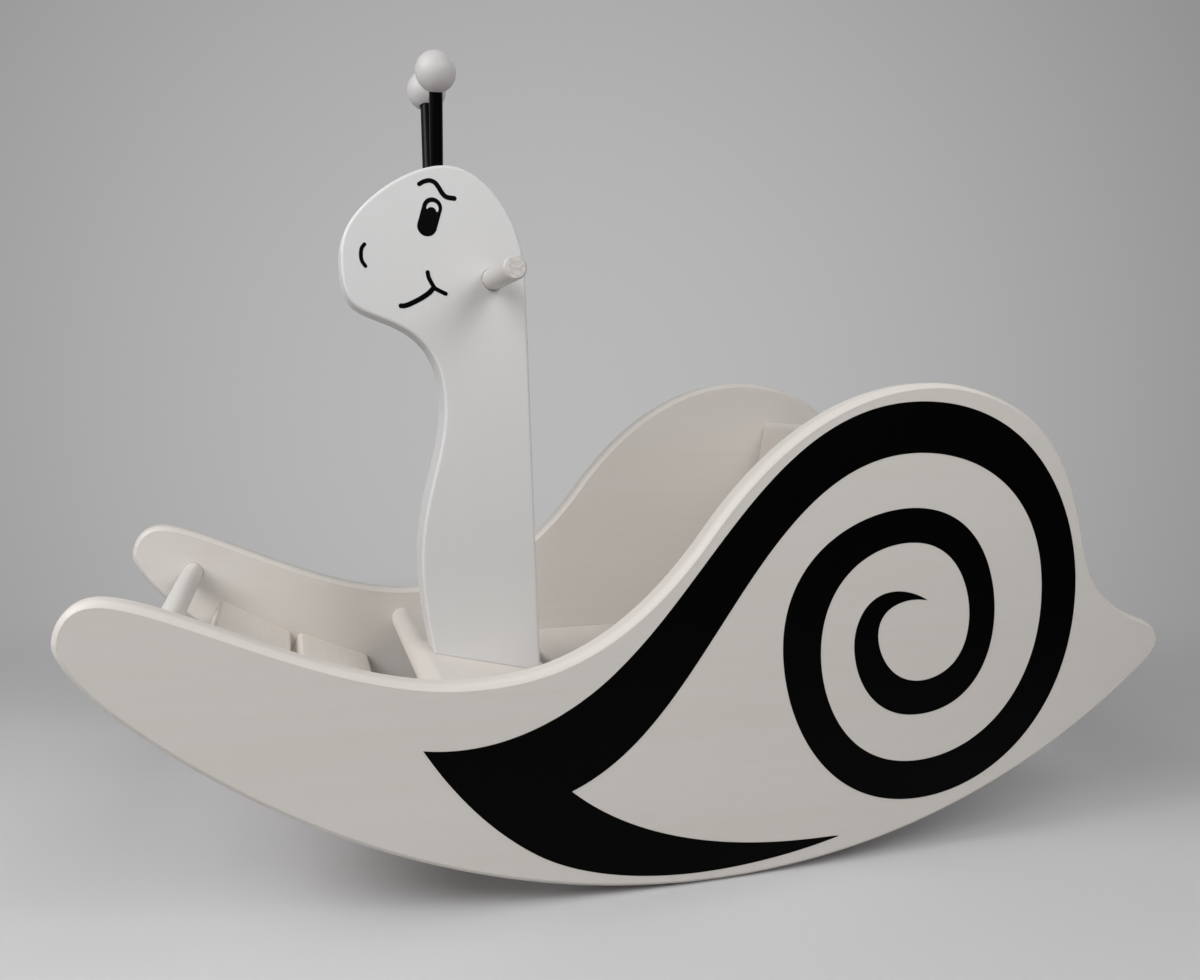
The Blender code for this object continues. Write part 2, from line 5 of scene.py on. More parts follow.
import bmesh
import bpy
from mathutils import Matrix, Vector
from mathutils.geometry import interpolate_bezier, tessellate_polygon


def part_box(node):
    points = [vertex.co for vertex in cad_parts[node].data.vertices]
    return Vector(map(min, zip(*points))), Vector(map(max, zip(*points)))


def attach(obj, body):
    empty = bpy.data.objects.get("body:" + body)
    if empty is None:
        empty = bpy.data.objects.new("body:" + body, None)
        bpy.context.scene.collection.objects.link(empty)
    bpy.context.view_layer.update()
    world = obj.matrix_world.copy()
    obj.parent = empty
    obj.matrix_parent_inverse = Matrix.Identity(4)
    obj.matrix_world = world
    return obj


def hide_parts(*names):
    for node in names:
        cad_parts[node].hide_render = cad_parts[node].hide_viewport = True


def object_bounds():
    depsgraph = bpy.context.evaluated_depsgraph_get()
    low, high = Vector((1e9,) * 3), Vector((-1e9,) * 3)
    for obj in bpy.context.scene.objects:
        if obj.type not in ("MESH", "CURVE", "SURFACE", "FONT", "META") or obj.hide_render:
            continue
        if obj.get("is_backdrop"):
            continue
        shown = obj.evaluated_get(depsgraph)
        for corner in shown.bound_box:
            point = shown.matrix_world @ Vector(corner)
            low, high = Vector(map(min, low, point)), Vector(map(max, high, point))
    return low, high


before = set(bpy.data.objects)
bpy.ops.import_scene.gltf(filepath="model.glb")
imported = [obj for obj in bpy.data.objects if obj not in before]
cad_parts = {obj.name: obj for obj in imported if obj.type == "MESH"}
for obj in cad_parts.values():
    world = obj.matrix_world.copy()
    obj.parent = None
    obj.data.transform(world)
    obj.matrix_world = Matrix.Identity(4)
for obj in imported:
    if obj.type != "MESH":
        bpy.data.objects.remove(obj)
cad_low, cad_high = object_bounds()


# Side panels
# Two planed boards of pale hardwood, 21 mm thick, sawn to one outline and rounded all round with a router.
# Their lower edge is the rocker, an arc of one circle. Blind bores inside take the pins and the crossbar.
PANEL_OUTER_Y = 0.175
PANEL_INNER_Y = 0.154
PANEL_RIM = (0.0076, 60.0)
RUBBED_WIDTH = 0.0006
ROCKER_RADIUS = 0.568
ROCKER_MIDDLE_X = 0.023
ROCKER_FRONT_X = -0.3644
ROCKER_REAR_X = 0.3766
ROCKER_END_REACH = 0.006
PANEL_TOP_EDGE = [
    # x, z, direction in degrees, reach in, reach out
    (-0.3940, 0.1970, 90.0, 0.0140, 0.0060),
    (-0.3705, 0.2220, 0.0, 0.0190, 0.0370),
    (-0.1540, 0.1550, 0.0, 0.0830, 0.0400),
    (0.0090, 0.2465, 53.0, 0.1070, 0.0550),
    (0.1845, 0.3475, 0.0, 0.0855, 0.0250),
    (0.2955, 0.2900, -59.5, 0.0540, 0.0500),
    (0.3375, 0.1875, -47.0, 0.0350, 0.0120),
    (0.3745, 0.1645, -20.0, 0.0180, 0.0060),
    (0.3940, 0.1470, -90.0, 0.0110, 0.0105),
]
EDGE_STEP = 0.003
ROUND_STEPS = 8
BORE_SIDES = 32
CRISP_TURN = 22.0
FIT_GAP = 0.0003
PIN_BORE_RADIUS = 0.0043
PIN_END_ROOM = 0.0005
BAR_BORE_RADIUS = 0.0088
PAINT_BUILD = 0.00015


def heading(degrees):
    """A step of one unit in X and Z, in the given direction."""
    return Vector((math.cos(math.radians(degrees)), math.sin(math.radians(degrees))))


def sawn_line(knots, step):
    """Points along a smooth line through knots of x, z, direction, reach in and reach out."""
    points = []
    for first, second in zip(knots, knots[1:]):
        start = Vector(first[:2])
        finish = Vector(second[:2])
        leave = start + first[4] * heading(first[2])
        arrive = finish - second[3] * heading(second[2])
        count = max(3, round((finish - start).length / step))
        points.extend(interpolate_bezier(start, leave, arrive, finish, count + 1)[:-1])
    points.append(Vector(knots[-1][:2]))
    return points


def rocker_spot(x):
    """The rocker's point at x and the direction there, from the rear to the front."""
    turn = math.asin((x - ROCKER_MIDDLE_X) / ROCKER_RADIUS)
    return Vector((x, ROCKER_RADIUS * (1 - math.cos(turn)))), 180.0 + math.degrees(turn)


def panel_line():
    """The panel's outline: its upper edge from the front to the tail, then the rocker back to the front."""
    front, front_direction = rocker_spot(ROCKER_FRONT_X)
    rear, rear_direction = rocker_spot(ROCKER_REAR_X)
    knots = [(front.x, front.y, front_direction, 0.0, ROCKER_END_REACH)]
    knots += PANEL_TOP_EDGE
    knots += [(rear.x, rear.y, rear_direction, ROCKER_END_REACH, 0.0)]
    line = sawn_line(knots, EDGE_STEP)
    first_turn = math.radians(rear_direction - 180.0)
    last_turn = math.radians(front_direction - 180.0)
    count = round(ROCKER_RADIUS * (first_turn - last_turn) / EDGE_STEP)
    for step in range(1, count):
        turn = first_turn + (last_turn - first_turn) * step / count
        line.append(Vector((
            ROCKER_MIDDLE_X + ROCKER_RADIUS * math.sin(turn),
            max(cad_low.z, ROCKER_RADIUS * (1 - math.cos(turn))),
        )))
    return line


def inward_steps(line, sawn_foot):
    """For each point of a line that runs anticlockwise, the step that moves the edge in by one unit."""
    steps = []
    count = len(line)
    for index, point in enumerate(line):
        before = (point - line[index - 1]).normalized()
        after = (line[(index + 1) % count] - point).normalized()
        in_before = Vector((-before.y, before.x))
        in_after = Vector((-after.y, after.x))
        if sawn_foot and index == 0:
            steps.append(-before / -before.dot(in_after))
        elif sawn_foot and index == count - 1:
            steps.append(after / after.dot(in_before))
        else:
            middle = (in_before + in_after).normalized()
            steps.append(middle / middle.dot(in_after))
    return steps


def linked(name, data):
    """A new object in the scene."""
    thing = bpy.data.objects.new(name, data)
    bpy.context.scene.collection.objects.link(thing)
    return thing


def settled_mesh(thing):
    """The mesh that an object's modifiers make of it."""
    bpy.context.view_layer.update()
    return bpy.data.meshes.new_from_object(thing.evaluated_get(bpy.context.evaluated_depsgraph_get()))


def new_piece(name, shape, material, drills=()):
    """A finished piece from a bmesh: its faces turned out, the drills cut from it, its round faces smooth."""
    bmesh.ops.recalc_face_normals(shape, faces=shape.faces[:])
    mesh = bpy.data.meshes.new(name)
    shape.to_mesh(mesh)
    shape.free()
    mesh.materials.append(material)
    piece = linked(name, mesh)
    for drill in drills:
        cut = piece.modifiers.new(drill.name, "BOOLEAN")
        cut.operation = "DIFFERENCE"
        cut.solver = "EXACT"
        cut.object = drill
    if drills:
        piece.data = settled_mesh(piece)
        piece.modifiers.clear()
    for drill in drills:
        bpy.data.objects.remove(drill)
    piece.data.shade_smooth()
    piece.data.set_sharp_from_angle(angle=math.radians(CRISP_TURN))
    even = piece.modifiers.new("even_faces", "WEIGHTED_NORMAL")
    even.keep_sharp = True
    return piece


def planed_board(name, line, low_y, high_y, rim, bores, material, sawn_foot=False, drills=()):
    """A board that lies in X and Z, between two places on Y. Its rims have a round of the given radius and
    turn in degrees, and a round that turns less than 90 degrees meets the face in a crisp edge. A bore is
    x, z, radius, mouth y, bottom y. A sawn foot is one flat face from the line's end to its start."""
    rim_radius, full_turn = rim[0], math.radians(rim[1])
    line = list(line)
    area = sum(a.x * b.y - b.x * a.y for a, b in zip(line, line[1:] + line[:1]))
    if area < 0:
        line.reverse()
    steps = inward_steps(line, sawn_foot)
    rings = []
    for side in (-1, 1):
        for share in range(ROUND_STEPS + 1):
            turn = full_turn * (share if side > 0 else ROUND_STEPS - share) / ROUND_STEPS
            drop = rim_radius * (math.sin(full_turn) - math.sin(turn))
            y = high_y - drop if side > 0 else low_y + drop
            crisp = drop == 0.0 and full_turn < math.pi / 2
            rings.append((y, rim_radius * (1 - math.cos(turn)), 1.0 if crisp else 0.0))
    inset = rim_radius * (1 - math.cos(full_turn)) + RUBBED_WIDTH
    rings = [(low_y, inset, 0.0)] + rings + [(high_y, inset, 0.0)]
    shape = bmesh.new()
    wear = shape.verts.layers.float.new("edge_wear")
    loops = []
    for y, inset, rub in rings:
        loop = []
        for point, step in zip(line, steps):
            spot = point + step * inset
            corner = shape.verts.new((spot.x, y, spot.y))
            corner[wear] = rub
            loop.append(corner)
        loops.append(loop)
    count = len(line)
    for lower, upper in zip(loops, loops[1:]):
        for index in range(count if not sawn_foot else count - 1):
            after = (index + 1) % count
            shape.faces.new((lower[index], upper[index], upper[after], lower[after]))
    if sawn_foot:
        shape.faces.new([loop[0] for loop in loops] + [loop[-1] for loop in reversed(loops)])
    mouths = {low_y: [], high_y: []}
    turns = [2 * math.pi * side / BORE_SIDES for side in range(BORE_SIDES)]
    for x, z, radius, mouth, bottom in bores:
        circle = [(x + radius * math.cos(turn), z + radius * math.sin(turn)) for turn in turns]
        ends = [[shape.verts.new((spot_x, y, spot_z)) for spot_x, spot_z in circle] for y in (mouth, bottom)]
        for side in range(BORE_SIDES):
            after = (side + 1) % BORE_SIDES
            shape.faces.new((ends[0][side], ends[0][after], ends[1][after], ends[1][side]))
        mouths[mouth].append(ends[0])
        if bottom in mouths:
            mouths[bottom].append(ends[1])
        else:
            shape.faces.new(ends[1])
    for y, outer_loop in ((low_y, loops[0]), (high_y, loops[-1])):
        outlines = [outer_loop] + mouths[y]
        corners = [corner for outline in outlines for corner in outline]
        for triple in tessellate_polygon([[corner.co for corner in outline] for outline in outlines]):
            shape.faces.new([corners[index] for index in triple])
    return new_piece(name, shape, material, drills)


def new_material(name):
    """A new material, its node tree, its shader and the Object coordinates that its patterns follow."""
    material = bpy.data.materials.new(name)
    material.use_nodes = True
    tree = material.node_tree
    place = tree.nodes.new("ShaderNodeTexCoord").outputs["Object"]
    return material, tree, tree.nodes["Principled BSDF"], place


def stretched(tree, place, scale):
    """Coordinates scaled along each axis."""
    mapping = tree.nodes.new("ShaderNodeMapping")
    mapping.inputs["Scale"].default_value = scale
    tree.links.new(place, mapping.inputs["Vector"])
    return mapping.outputs["Vector"]


def noise(tree, place, scale, detail=2.0, roughness=0.5):
    """A noise pattern from 0 to 1."""
    pattern = tree.nodes.new("ShaderNodeTexNoise")
    pattern.inputs["Scale"].default_value = scale
    pattern.inputs["Detail"].default_value = detail
    pattern.inputs["Roughness"].default_value = roughness
    tree.links.new(place, pattern.inputs["Vector"])
    return pattern.outputs["Fac"]


def marked(tree, attribute):
    """A value that the piece's mesh carries."""
    mark = tree.nodes.new("ShaderNodeAttribute")
    mark.attribute_name = attribute
    return mark.outputs["Fac"]


def ranged(tree, value, low, high, to_low=0.0, to_high=1.0, curve="LINEAR"):
    """A value taken from one range to another and held within it."""
    ramp = tree.nodes.new("ShaderNodeMapRange")
    ramp.interpolation_type = curve
    ramp.inputs["From Min"].default_value = low
    ramp.inputs["From Max"].default_value = high
    ramp.inputs["To Min"].default_value = to_low
    ramp.inputs["To Max"].default_value = to_high
    tree.links.new(value, ramp.inputs["Value"])
    return ramp.outputs["Result"]


def mixed(tree, share, first, second):
    """A colour between two others, each given in numbers or by another node."""
    node = tree.nodes.new("ShaderNodeMix")
    node.data_type = "RGBA"
    sockets = [socket for socket in node.inputs if socket.type == "RGBA"]
    for socket, value in zip(sockets, (first, second)):
        if isinstance(value, tuple):
            socket.default_value = (*value, 1.0)
        else:
            tree.links.new(value, socket)
    tree.links.new(share, node.inputs[0])
    return [socket for socket in node.outputs if socket.type == "RGBA"][0]


def raised(tree, shader, height, strength, distance):
    """Gives the shader a fine relief from a pattern."""
    bump = tree.nodes.new("ShaderNodeBump")
    bump.inputs["Strength"].default_value = strength
    bump.inputs["Distance"].default_value = distance
    tree.links.new(height, bump.inputs["Height"])
    tree.links.new(bump.outputs["Normal"], shader.inputs["Normal"])


def glazed_wood(name, colour, grain, figure, warm=(0.92, 0.86, 0.78)):
    """Pale wood under a white glaze that is brushed thick and thin. Grain is 0, 1 or 2 for fibres along X, Y
    or Z, figure is how strongly they show through, and warm is the wood's own tint under the glaze. Crisp
    edges are rubbed a little bare, and sawn ends are blotched."""
    material, tree, shader, place = new_material(name)

    def streaks(along, across, detail):
        scale = [across] * 3
        scale[grain] = along
        return noise(tree, stretched(tree, place, scale), 1.0, detail, 0.6)

    fibres = streaks(6.0, 420.0, 5.0)
    growth_bands = streaks(1.3, 38.0, 3.0)
    glaze_clouds = streaks(3.0, 9.0, 2.0)
    blotches = noise(tree, place, 420.0, 3.0)
    under = tuple(c * w for c, w in zip(colour, warm))
    deep = tuple(c * 0.93 for c in under)
    end_pale = tuple(c * 1.18 for c in colour)
    end_dark = tuple(c * w for c, w in zip(colour, (0.95, 0.90, 0.87)))
    tone = mixed(tree, ranged(tree, growth_bands, 0.35, 0.7, 0.0, 0.45 * figure), colour, under)
    tone = mixed(tree, ranged(tree, fibres, 0.45, 0.75, 0.0, 0.35 * figure), tone, deep)
    tone = mixed(tree, ranged(tree, glaze_clouds, 0.3, 0.7, 0.0, 0.25 * figure), tone, under)
    tone = mixed(tree, ranged(tree, marked(tree, "edge_wear"), 0.2, 1.0, 0.0, 0.35), tone, under)
    end_tone = mixed(tree, ranged(tree, blotches, 0.38, 0.62), end_pale, end_dark)
    tone = mixed(tree, marked(tree, "end_grain"), tone, end_tone)
    tree.links.new(tone, shader.inputs["Base Color"])
    tree.links.new(ranged(tree, fibres, 0.3, 0.8, 0.40, 0.54), shader.inputs["Roughness"])
    raised(tree, shader, fibres, 0.12, 0.0003)
    shader.inputs["Specular IOR Level"].default_value = 0.4
    return material


def node_spot(node):
    """The middle of a CAD node in X and Z."""
    low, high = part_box(node)
    return (low.x + high.x) / 2, (low.z + high.z) / 2


panel_glaze = glazed_wood("panel_glaze", (0.684, 0.654, 0.619), 0, 0.35)
panel_outline = panel_line()
for side, hand in ((-1, "left"), (1, "right")):
    outer_y = side * (PANEL_OUTER_Y - PAINT_BUILD)
    inner_y = side * PANEL_INNER_Y
    bores = []
    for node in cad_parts:
        if node.endswith(hand) and "_pin_" in node:
            low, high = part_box(node)
            bottom = max(abs(low.y), abs(high.y)) + PIN_END_ROOM
            bores.append((*node_spot(node), PIN_BORE_RADIUS, inner_y, side * bottom))
    socket_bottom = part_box("crossbar")[1].y + FIT_GAP
    bores.append((*node_spot("crossbar"), BAR_BORE_RADIUS, inner_y, side * socket_bottom))
    panel = planed_board(hand + "_panel", panel_outline, min(outer_y, inner_y), max(outer_y, inner_y),
                         PANEL_RIM, bores, panel_glaze)
    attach(panel, "root")
    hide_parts(hand + "_side_panel")


# Shell figure
# A snail's coil and the foot below it, painted in black lacquer through a stencil on each panel's outer face.
# The coil turns a little over twice; its edges are quarter turns between their points furthest up and out.
SHELL_TIP = (-0.1850, 0.1150)
SHELL_NOTCH = (-0.0877, 0.0775)
FOOT_TIP = (0.1122, 0.0212)
COIL_TIP = (0.1798, 0.1907)
COIL_OUTER = [
    # x, z, reach in, reach out; the first lies at the top and each next one a quarter turn on
    (0.1714, 0.3344, 0.0952, 0.1119),
    (0.3102, 0.1896, 0.0920, 0.0678),
    (0.1756, 0.0422, 0.0792, 0.0684),
    (0.0647, 0.1651, 0.0669, 0.0499),
    (0.1646, 0.2584, 0.0593, 0.0395),
    (0.2380, 0.1768, 0.0392, 0.0293),
    (0.1741, 0.1059, 0.0375, 0.0418),
    (0.1208, 0.1621, 0.0139, 0.0247),
    (0.1541, 0.1984, 0.0095, 0.0256),
]
COIL_INNER = [
    (0.1699, 0.2978, 0.0602, 0.0523),
    (0.2794, 0.1874, 0.0801, 0.0715),
    (0.1748, 0.0711, 0.0554, 0.0592),
    (0.0943, 0.1595, 0.0364, 0.0499),
    (0.1644, 0.2333, 0.0336, 0.0416),
    (0.2161, 0.1765, 0.0183, 0.0365),
    (0.1761, 0.1311, 0.0145, 0.0247),
    (0.1400, 0.1675, 0.0143, 0.0232),
    (0.1689, 0.1915, 0.0028, 0.0074),
]
# Each of these is x, z, direction in degrees, reach in, reach out
COIL_NECK_INNER = (0.0329, 0.2037, 54.6, 0.0677, 0.0664)
COIL_NECK_OUTER = (-0.0547, 0.1580, -138.3, 0.0961, 0.0058)
FOOT_HEEL = (-0.1136, 0.0382, -33.6, 0.0343, 0.0445)
FOOT_SOLE = (0.0089, 0.0088, 0.0, 0.0317, 0.0474)
PAINT_STEP = 0.0015
PAINT_SUNK = 0.0002
WELD_REACH = 0.000001


def coil_knots(quarters):
    """Knots along a coil's edge, from the outside in, clockwise."""
    return [(x, z, -90.0 * turn, into, out) for turn, (x, z, into, out) in enumerate(quarters)]


def shell_line():
    """The figure's outline, anticlockwise: in along the coil's inner edge, back along its outer edge, and
    round the foot."""
    inner = [(*SHELL_NOTCH, 21.5, 0.0, 0.0555), COIL_NECK_INNER, *coil_knots(COIL_INNER),
             (*COIL_TIP, 0.0, 0.0035, 0.0)]
    outer = [(*COIL_TIP, 148.7, 0.0, 0.0074)]
    for x, z, direction, into, out in reversed(coil_knots(COIL_OUTER)):
        outer.append((x, z, direction + 180.0, into, out))
    outer += [COIL_NECK_OUTER, (*SHELL_TIP, 170.1, 0.0731, 0.0)]
    under = [(*SHELL_TIP, -58.5, 0.0, 0.0366), FOOT_HEEL, FOOT_SOLE, (*FOOT_TIP, 13.8, 0.0155, 0.0)]
    back = [(*FOOT_TIP, 89.0, 0.0, 0.0032), (*SHELL_NOTCH, 138.7, 0.1004, 0.0)]
    line = []
    for knots in (inner, outer, under, back):
        line += sawn_line(knots, PAINT_STEP)[:-1]
    return line


def paint_tree():
    """Geometry nodes: fills a closed outline and gives the paint its build, its back sunk in the face."""
    tree = bpy.data.node_groups.new("paint_film", "GeometryNodeTree")
    face = tree.interface
    face.new_socket("Outline", in_out="INPUT", socket_type="NodeSocketGeometry")
    for socket_name, start in (("Build", PAINT_BUILD), ("Sunk", PAINT_SUNK)):
        socket = face.new_socket(socket_name, in_out="INPUT", socket_type="NodeSocketFloat")
        socket.default_value = start
    face.new_socket("Paint", in_out="INPUT", socket_type="NodeSocketMaterial")
    face.new_socket("Film", in_out="OUTPUT", socket_type="NodeSocketGeometry")
    nodes, links = tree.nodes, tree.links
    given = nodes.new("NodeGroupInput")
    made = nodes.new("NodeGroupOutput")
    curve = nodes.new("GeometryNodeMeshToCurve")
    fill = nodes.new("GeometryNodeFillCurve")
    sink = nodes.new("GeometryNodeTransform")
    flip = nodes.new("GeometryNodeFlipFaces")
    raise_up = nodes.new("GeometryNodeExtrudeMesh")
    join = nodes.new("GeometryNodeJoinGeometry")
    merge = nodes.new("GeometryNodeMergeByDistance")
    realize = nodes.new("GeometryNodeRealizeInstances")
    paint = nodes.new("GeometryNodeSetMaterial")
    down = nodes.new("ShaderNodeCombineXYZ")
    negative = nodes.new("ShaderNodeMath")
    negative.operation = "MULTIPLY"
    negative.inputs[1].default_value = -1.0
    thickness = nodes.new("ShaderNodeMath")
    thickness.operation = "ADD"
    raise_up.inputs["Individual"].default_value = False
    merge.inputs["Distance"].default_value = WELD_REACH
    links.new(given.outputs["Outline"], curve.inputs["Mesh"])
    links.new(curve.outputs["Curve"], fill.inputs["Curve"])
    links.new(given.outputs["Sunk"], negative.inputs[0])
    links.new(negative.outputs[0], down.inputs["Z"])
    links.new(fill.outputs["Mesh"], sink.inputs["Geometry"])
    links.new(down.outputs["Vector"], sink.inputs["Translation"])
    links.new(given.outputs["Build"], thickness.inputs[0])
    links.new(given.outputs["Sunk"], thickness.inputs[1])
    links.new(sink.outputs["Geometry"], raise_up.inputs["Mesh"])
    links.new(thickness.outputs[0], raise_up.inputs["Offset Scale"])
    links.new(sink.outputs["Geometry"], flip.inputs["Mesh"])
    links.new(flip.outputs["Mesh"], join.inputs["Geometry"])
    links.new(raise_up.outputs["Mesh"], join.inputs["Geometry"])
    links.new(join.outputs["Geometry"], merge.inputs["Geometry"])
    links.new(merge.outputs["Geometry"], realize.inputs["Geometry"])
    links.new(realize.outputs["Geometry"], paint.inputs["Geometry"])
    links.new(given.outputs["Paint"], paint.inputs["Material"])
    links.new(paint.outputs["Geometry"], made.inputs["Film"])
    return tree


film_tree = paint_tree()


def set_input(modifier, name, value):
    """Sets a tree's named input by its socket's identifier."""
    for item in modifier.node_group.interface.items_tree:
        if item.item_type == "SOCKET" and item.in_out == "INPUT" and item.name == name:
            modifier[item.identifier] = value


def painted(name, lines, face_y, side, material):
    """Paint films on a board's face that looks along Y to the given side, one for each closed outline."""
    mesh = bpy.data.meshes.new(name + "_outline")
    shape = bmesh.new()
    for line in lines:
        corners = [shape.verts.new((point.x, point.y, 0.0)) for point in line]
        for first, second in zip(corners, corners[1:] + corners[:1]):
            shape.edges.new((first, second))
    shape.to_mesh(mesh)
    shape.free()
    outline = linked(name + "_outline", mesh)
    modifier = outline.modifiers.new("film", "NODES")
    modifier.node_group = film_tree
    set_input(modifier, "Build", PAINT_BUILD)
    set_input(modifier, "Paint", material)
    film = settled_mesh(outline)
    bpy.data.objects.remove(outline)
    for corner in film.vertices:
        x, z, lift = corner.co
        corner.co = (x, face_y + side * lift, z)
    shape = bmesh.new()
    shape.from_mesh(film)
    bmesh.ops.recalc_face_normals(shape, faces=shape.faces[:])
    shape.to_mesh(film)
    shape.free()
    film.name = name
    return linked(name, film)


def black_paint(name, roughness=0.38, gloss=0.04):
    """Black lacquer with the faintest orange peel. Gloss is its specular level."""
    material, tree, shader, place = new_material(name)
    peel = noise(tree, place, 900.0)
    tone = mixed(tree, peel, (0.0008, 0.0008, 0.0009), (0.0016, 0.0015, 0.0016))
    tree.links.new(tone, shader.inputs["Base Color"])
    raised(tree, shader, peel, 0.05, 0.0002)
    shader.inputs["Roughness"].default_value = roughness
    shader.inputs["Specular IOR Level"].default_value = gloss
    return material


shell_black = black_paint("shell_black")
for side, hand in ((-1, "left"), (1, "right")):
    face_y = side * (PANEL_OUTER_Y - PAINT_BUILD)
    figure = painted(hand + "_shell_figure", [shell_line()], face_y, side, shell_black)
    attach(figure, "root")


# Cross boards
# Two seat boards, a backrest and two foot slats, sawn square, their long edges rounded, glued and dowelled
# between the panels. The front seat board has a full round nose and two countersunk screws from beneath.
BOARD_THICKNESS = 0.021
BOARD_END_Y = 0.1537
BOARD_EDGE_RADIUS = 0.0035
BOARD_END_RIM = (0.0004, 90.0)
FRONT_SEAT_NOSE = Vector((-0.1622, 0.1272))
FRONT_SEAT_SLOPE = -13.5
FRONT_SEAT_DEPTH = 0.1125
SEAT_GAP = 0.011
REAR_SEAT_TOP = 0.1085
REAR_SEAT_DEPTH = 0.250
SLAT_DEPTH = 0.067
BACKREST_LEAN = 8.5
BACKREST_HEIGHT = 0.2025
BACKREST_SET_IN = 0.002
BACKREST_TOP_RADIUS = 0.008
NOSE_STEPS = 12
BACKREST_STEPS = 10
SAME_SPOT = 0.00001


class BoardPlace:
    """A cross board's place: the front upper corner, the slope of its upper face and its depth."""

    def __init__(self, x, z, slope, depth):
        self.corner = Vector((x, z))
        self.along = heading(slope)
        self.up = heading(slope + 90.0)
        self.depth = depth

    def point(self, distance, below=0.0):
        """A point of the section, so far back along the upper face and so far below it."""
        return self.corner + self.along * distance - self.up * below

    def corners(self):
        """The section's four corners, clockwise from the front upper one."""
        return [self.point(0.0), self.point(self.depth), self.point(self.depth, BOARD_THICKNESS),
                self.point(0.0, BOARD_THICKNESS)]


def rounded_corners(corners, radii, steps):
    """A polygon with each corner rounded by its own radius."""
    line = []
    for index, (corner, radius) in enumerate(zip(corners, radii)):
        if radius == 0.0:
            line.append(corner)
            continue
        back = (corners[index - 1] - corner).normalized()
        ahead = (corners[(index + 1) % len(corners)] - corner).normalized()
        half = back.angle(ahead) / 2
        centre = corner + (back + ahead).normalized() * (radius / math.sin(half))
        start = corner + back * (radius / math.tan(half)) - centre
        finish = corner + ahead * (radius / math.tan(half)) - centre
        sweep = math.pi - 2 * half
        for step in range(steps + 1):
            share = step / steps
            arm = start * math.sin((1 - share) * sweep) + finish * math.sin(share * sweep)
            spot = centre + arm / math.sin(sweep)
            if not line or (spot - line[-1]).length > SAME_SPOT:
                line.append(spot)
    if (line[0] - line[-1]).length < SAME_SPOT:
        line.pop()
    return line


nose_half = (heading(FRONT_SEAT_SLOPE + 90.0) - heading(FRONT_SEAT_SLOPE)) * BOARD_THICKNESS / 2
nose_corner = FRONT_SEAT_NOSE + nose_half
FRONT_SEAT = BoardPlace(nose_corner.x, nose_corner.y, FRONT_SEAT_SLOPE, FRONT_SEAT_DEPTH)
rear_seat_x = FRONT_SEAT.point(FRONT_SEAT_DEPTH).x + SEAT_GAP
REAR_SEAT = BoardPlace(rear_seat_x, REAR_SEAT_TOP, 0.0, REAR_SEAT_DEPTH)
FRONT_SLAT = BoardPlace(-0.3205, 0.1540, -30.0, SLAT_DEPTH)
REAR_SLAT = BoardPlace(-0.2560, 0.1203, -23.0, SLAT_DEPTH)


def turned(name, start, axis, profile, sides, material):
    """A turned piece: its profile gives distance from the start and radius, closed at both ends."""
    across = axis.orthogonal().normalized()
    beside = axis.cross(across)
    turns = [2 * math.pi * side / sides for side in range(sides)]
    arms = [math.cos(turn) * across + math.sin(turn) * beside for turn in turns]
    shape = bmesh.new()
    rings = []
    for distance, radius in profile:
        centre = start + axis * distance
        if radius == 0.0:
            rings.append([shape.verts.new(centre)])
        else:
            rings.append([shape.verts.new(centre + radius * arm) for arm in arms])
    for lower, upper in zip(rings, rings[1:]):
        for side in range(sides):
            after = (side + 1) % sides
            if len(lower) == 1:
                shape.faces.new((lower[0], upper[after], upper[side]))
            elif len(upper) == 1:
                shape.faces.new((lower[side], lower[after], upper[0]))
            else:
                shape.faces.new((lower[side], lower[after], upper[after], upper[side]))
    return new_piece(name, shape, material)


SCREW_HEAD_RADIUS = 0.00475
SCREW_BORE_RADIUS = 0.0028
SCREW_LENGTH = 0.055
COUNTERSINK_DEPTH = 0.0027
SEAT_DRILL = (-0.003, 0.030)
NECK_DRILL = (0.010, SCREW_LENGTH + 2 * FIT_GAP)
DRILL_SIDES = 32


def screw_drills(low, high):
    """A drill along each of the two screws, between two distances from the screw's head. One that starts
    below the head cuts the countersink too."""
    axis = Vector((FRONT_SEAT.up.x, 0.0, FRONT_SEAT.up.y))
    drills = []
    for node in ("neck_screw_front", "neck_screw_rear"):
        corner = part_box(node)[0]
        head = Vector((corner.x + SCREW_HEAD_RADIUS * axis.z, 0.0, corner.z + SCREW_HEAD_RADIUS * axis.x))
        profile = [(low, 0.0)]
        if low < 0.0:
            mouth = SCREW_HEAD_RADIUS + FIT_GAP
            profile += [(low, mouth), (-FIT_GAP, mouth), (COUNTERSINK_DEPTH, SCREW_BORE_RADIUS)]
        else:
            profile += [(low, SCREW_BORE_RADIUS)]
        profile += [(high, SCREW_BORE_RADIUS), (high, 0.0)]
        drills.append(turned(node + "_drill", head, axis, profile, DRILL_SIDES, board_glaze))
    return drills


def backrest_line():
    """The backrest's section, from its foot on the rear seat board to its rounded top."""
    rise = heading(90.0 - BACKREST_LEAN)
    rear_foot = Vector((REAR_SEAT.point(REAR_SEAT_DEPTH).x - BACKREST_SET_IN, REAR_SEAT_TOP + FIT_GAP))
    front_foot = rear_foot - Vector((BOARD_THICKNESS / rise.y, 0.0))
    front_top = front_foot + rise * BACKREST_HEIGHT
    rear_top = front_top + BOARD_THICKNESS * heading(-BACKREST_LEAN)
    radii = [0.0, BACKREST_TOP_RADIUS, BACKREST_TOP_RADIUS, 0.0]
    return rounded_corners([front_foot, front_top, rear_top, rear_foot], radii, BACKREST_STEPS)


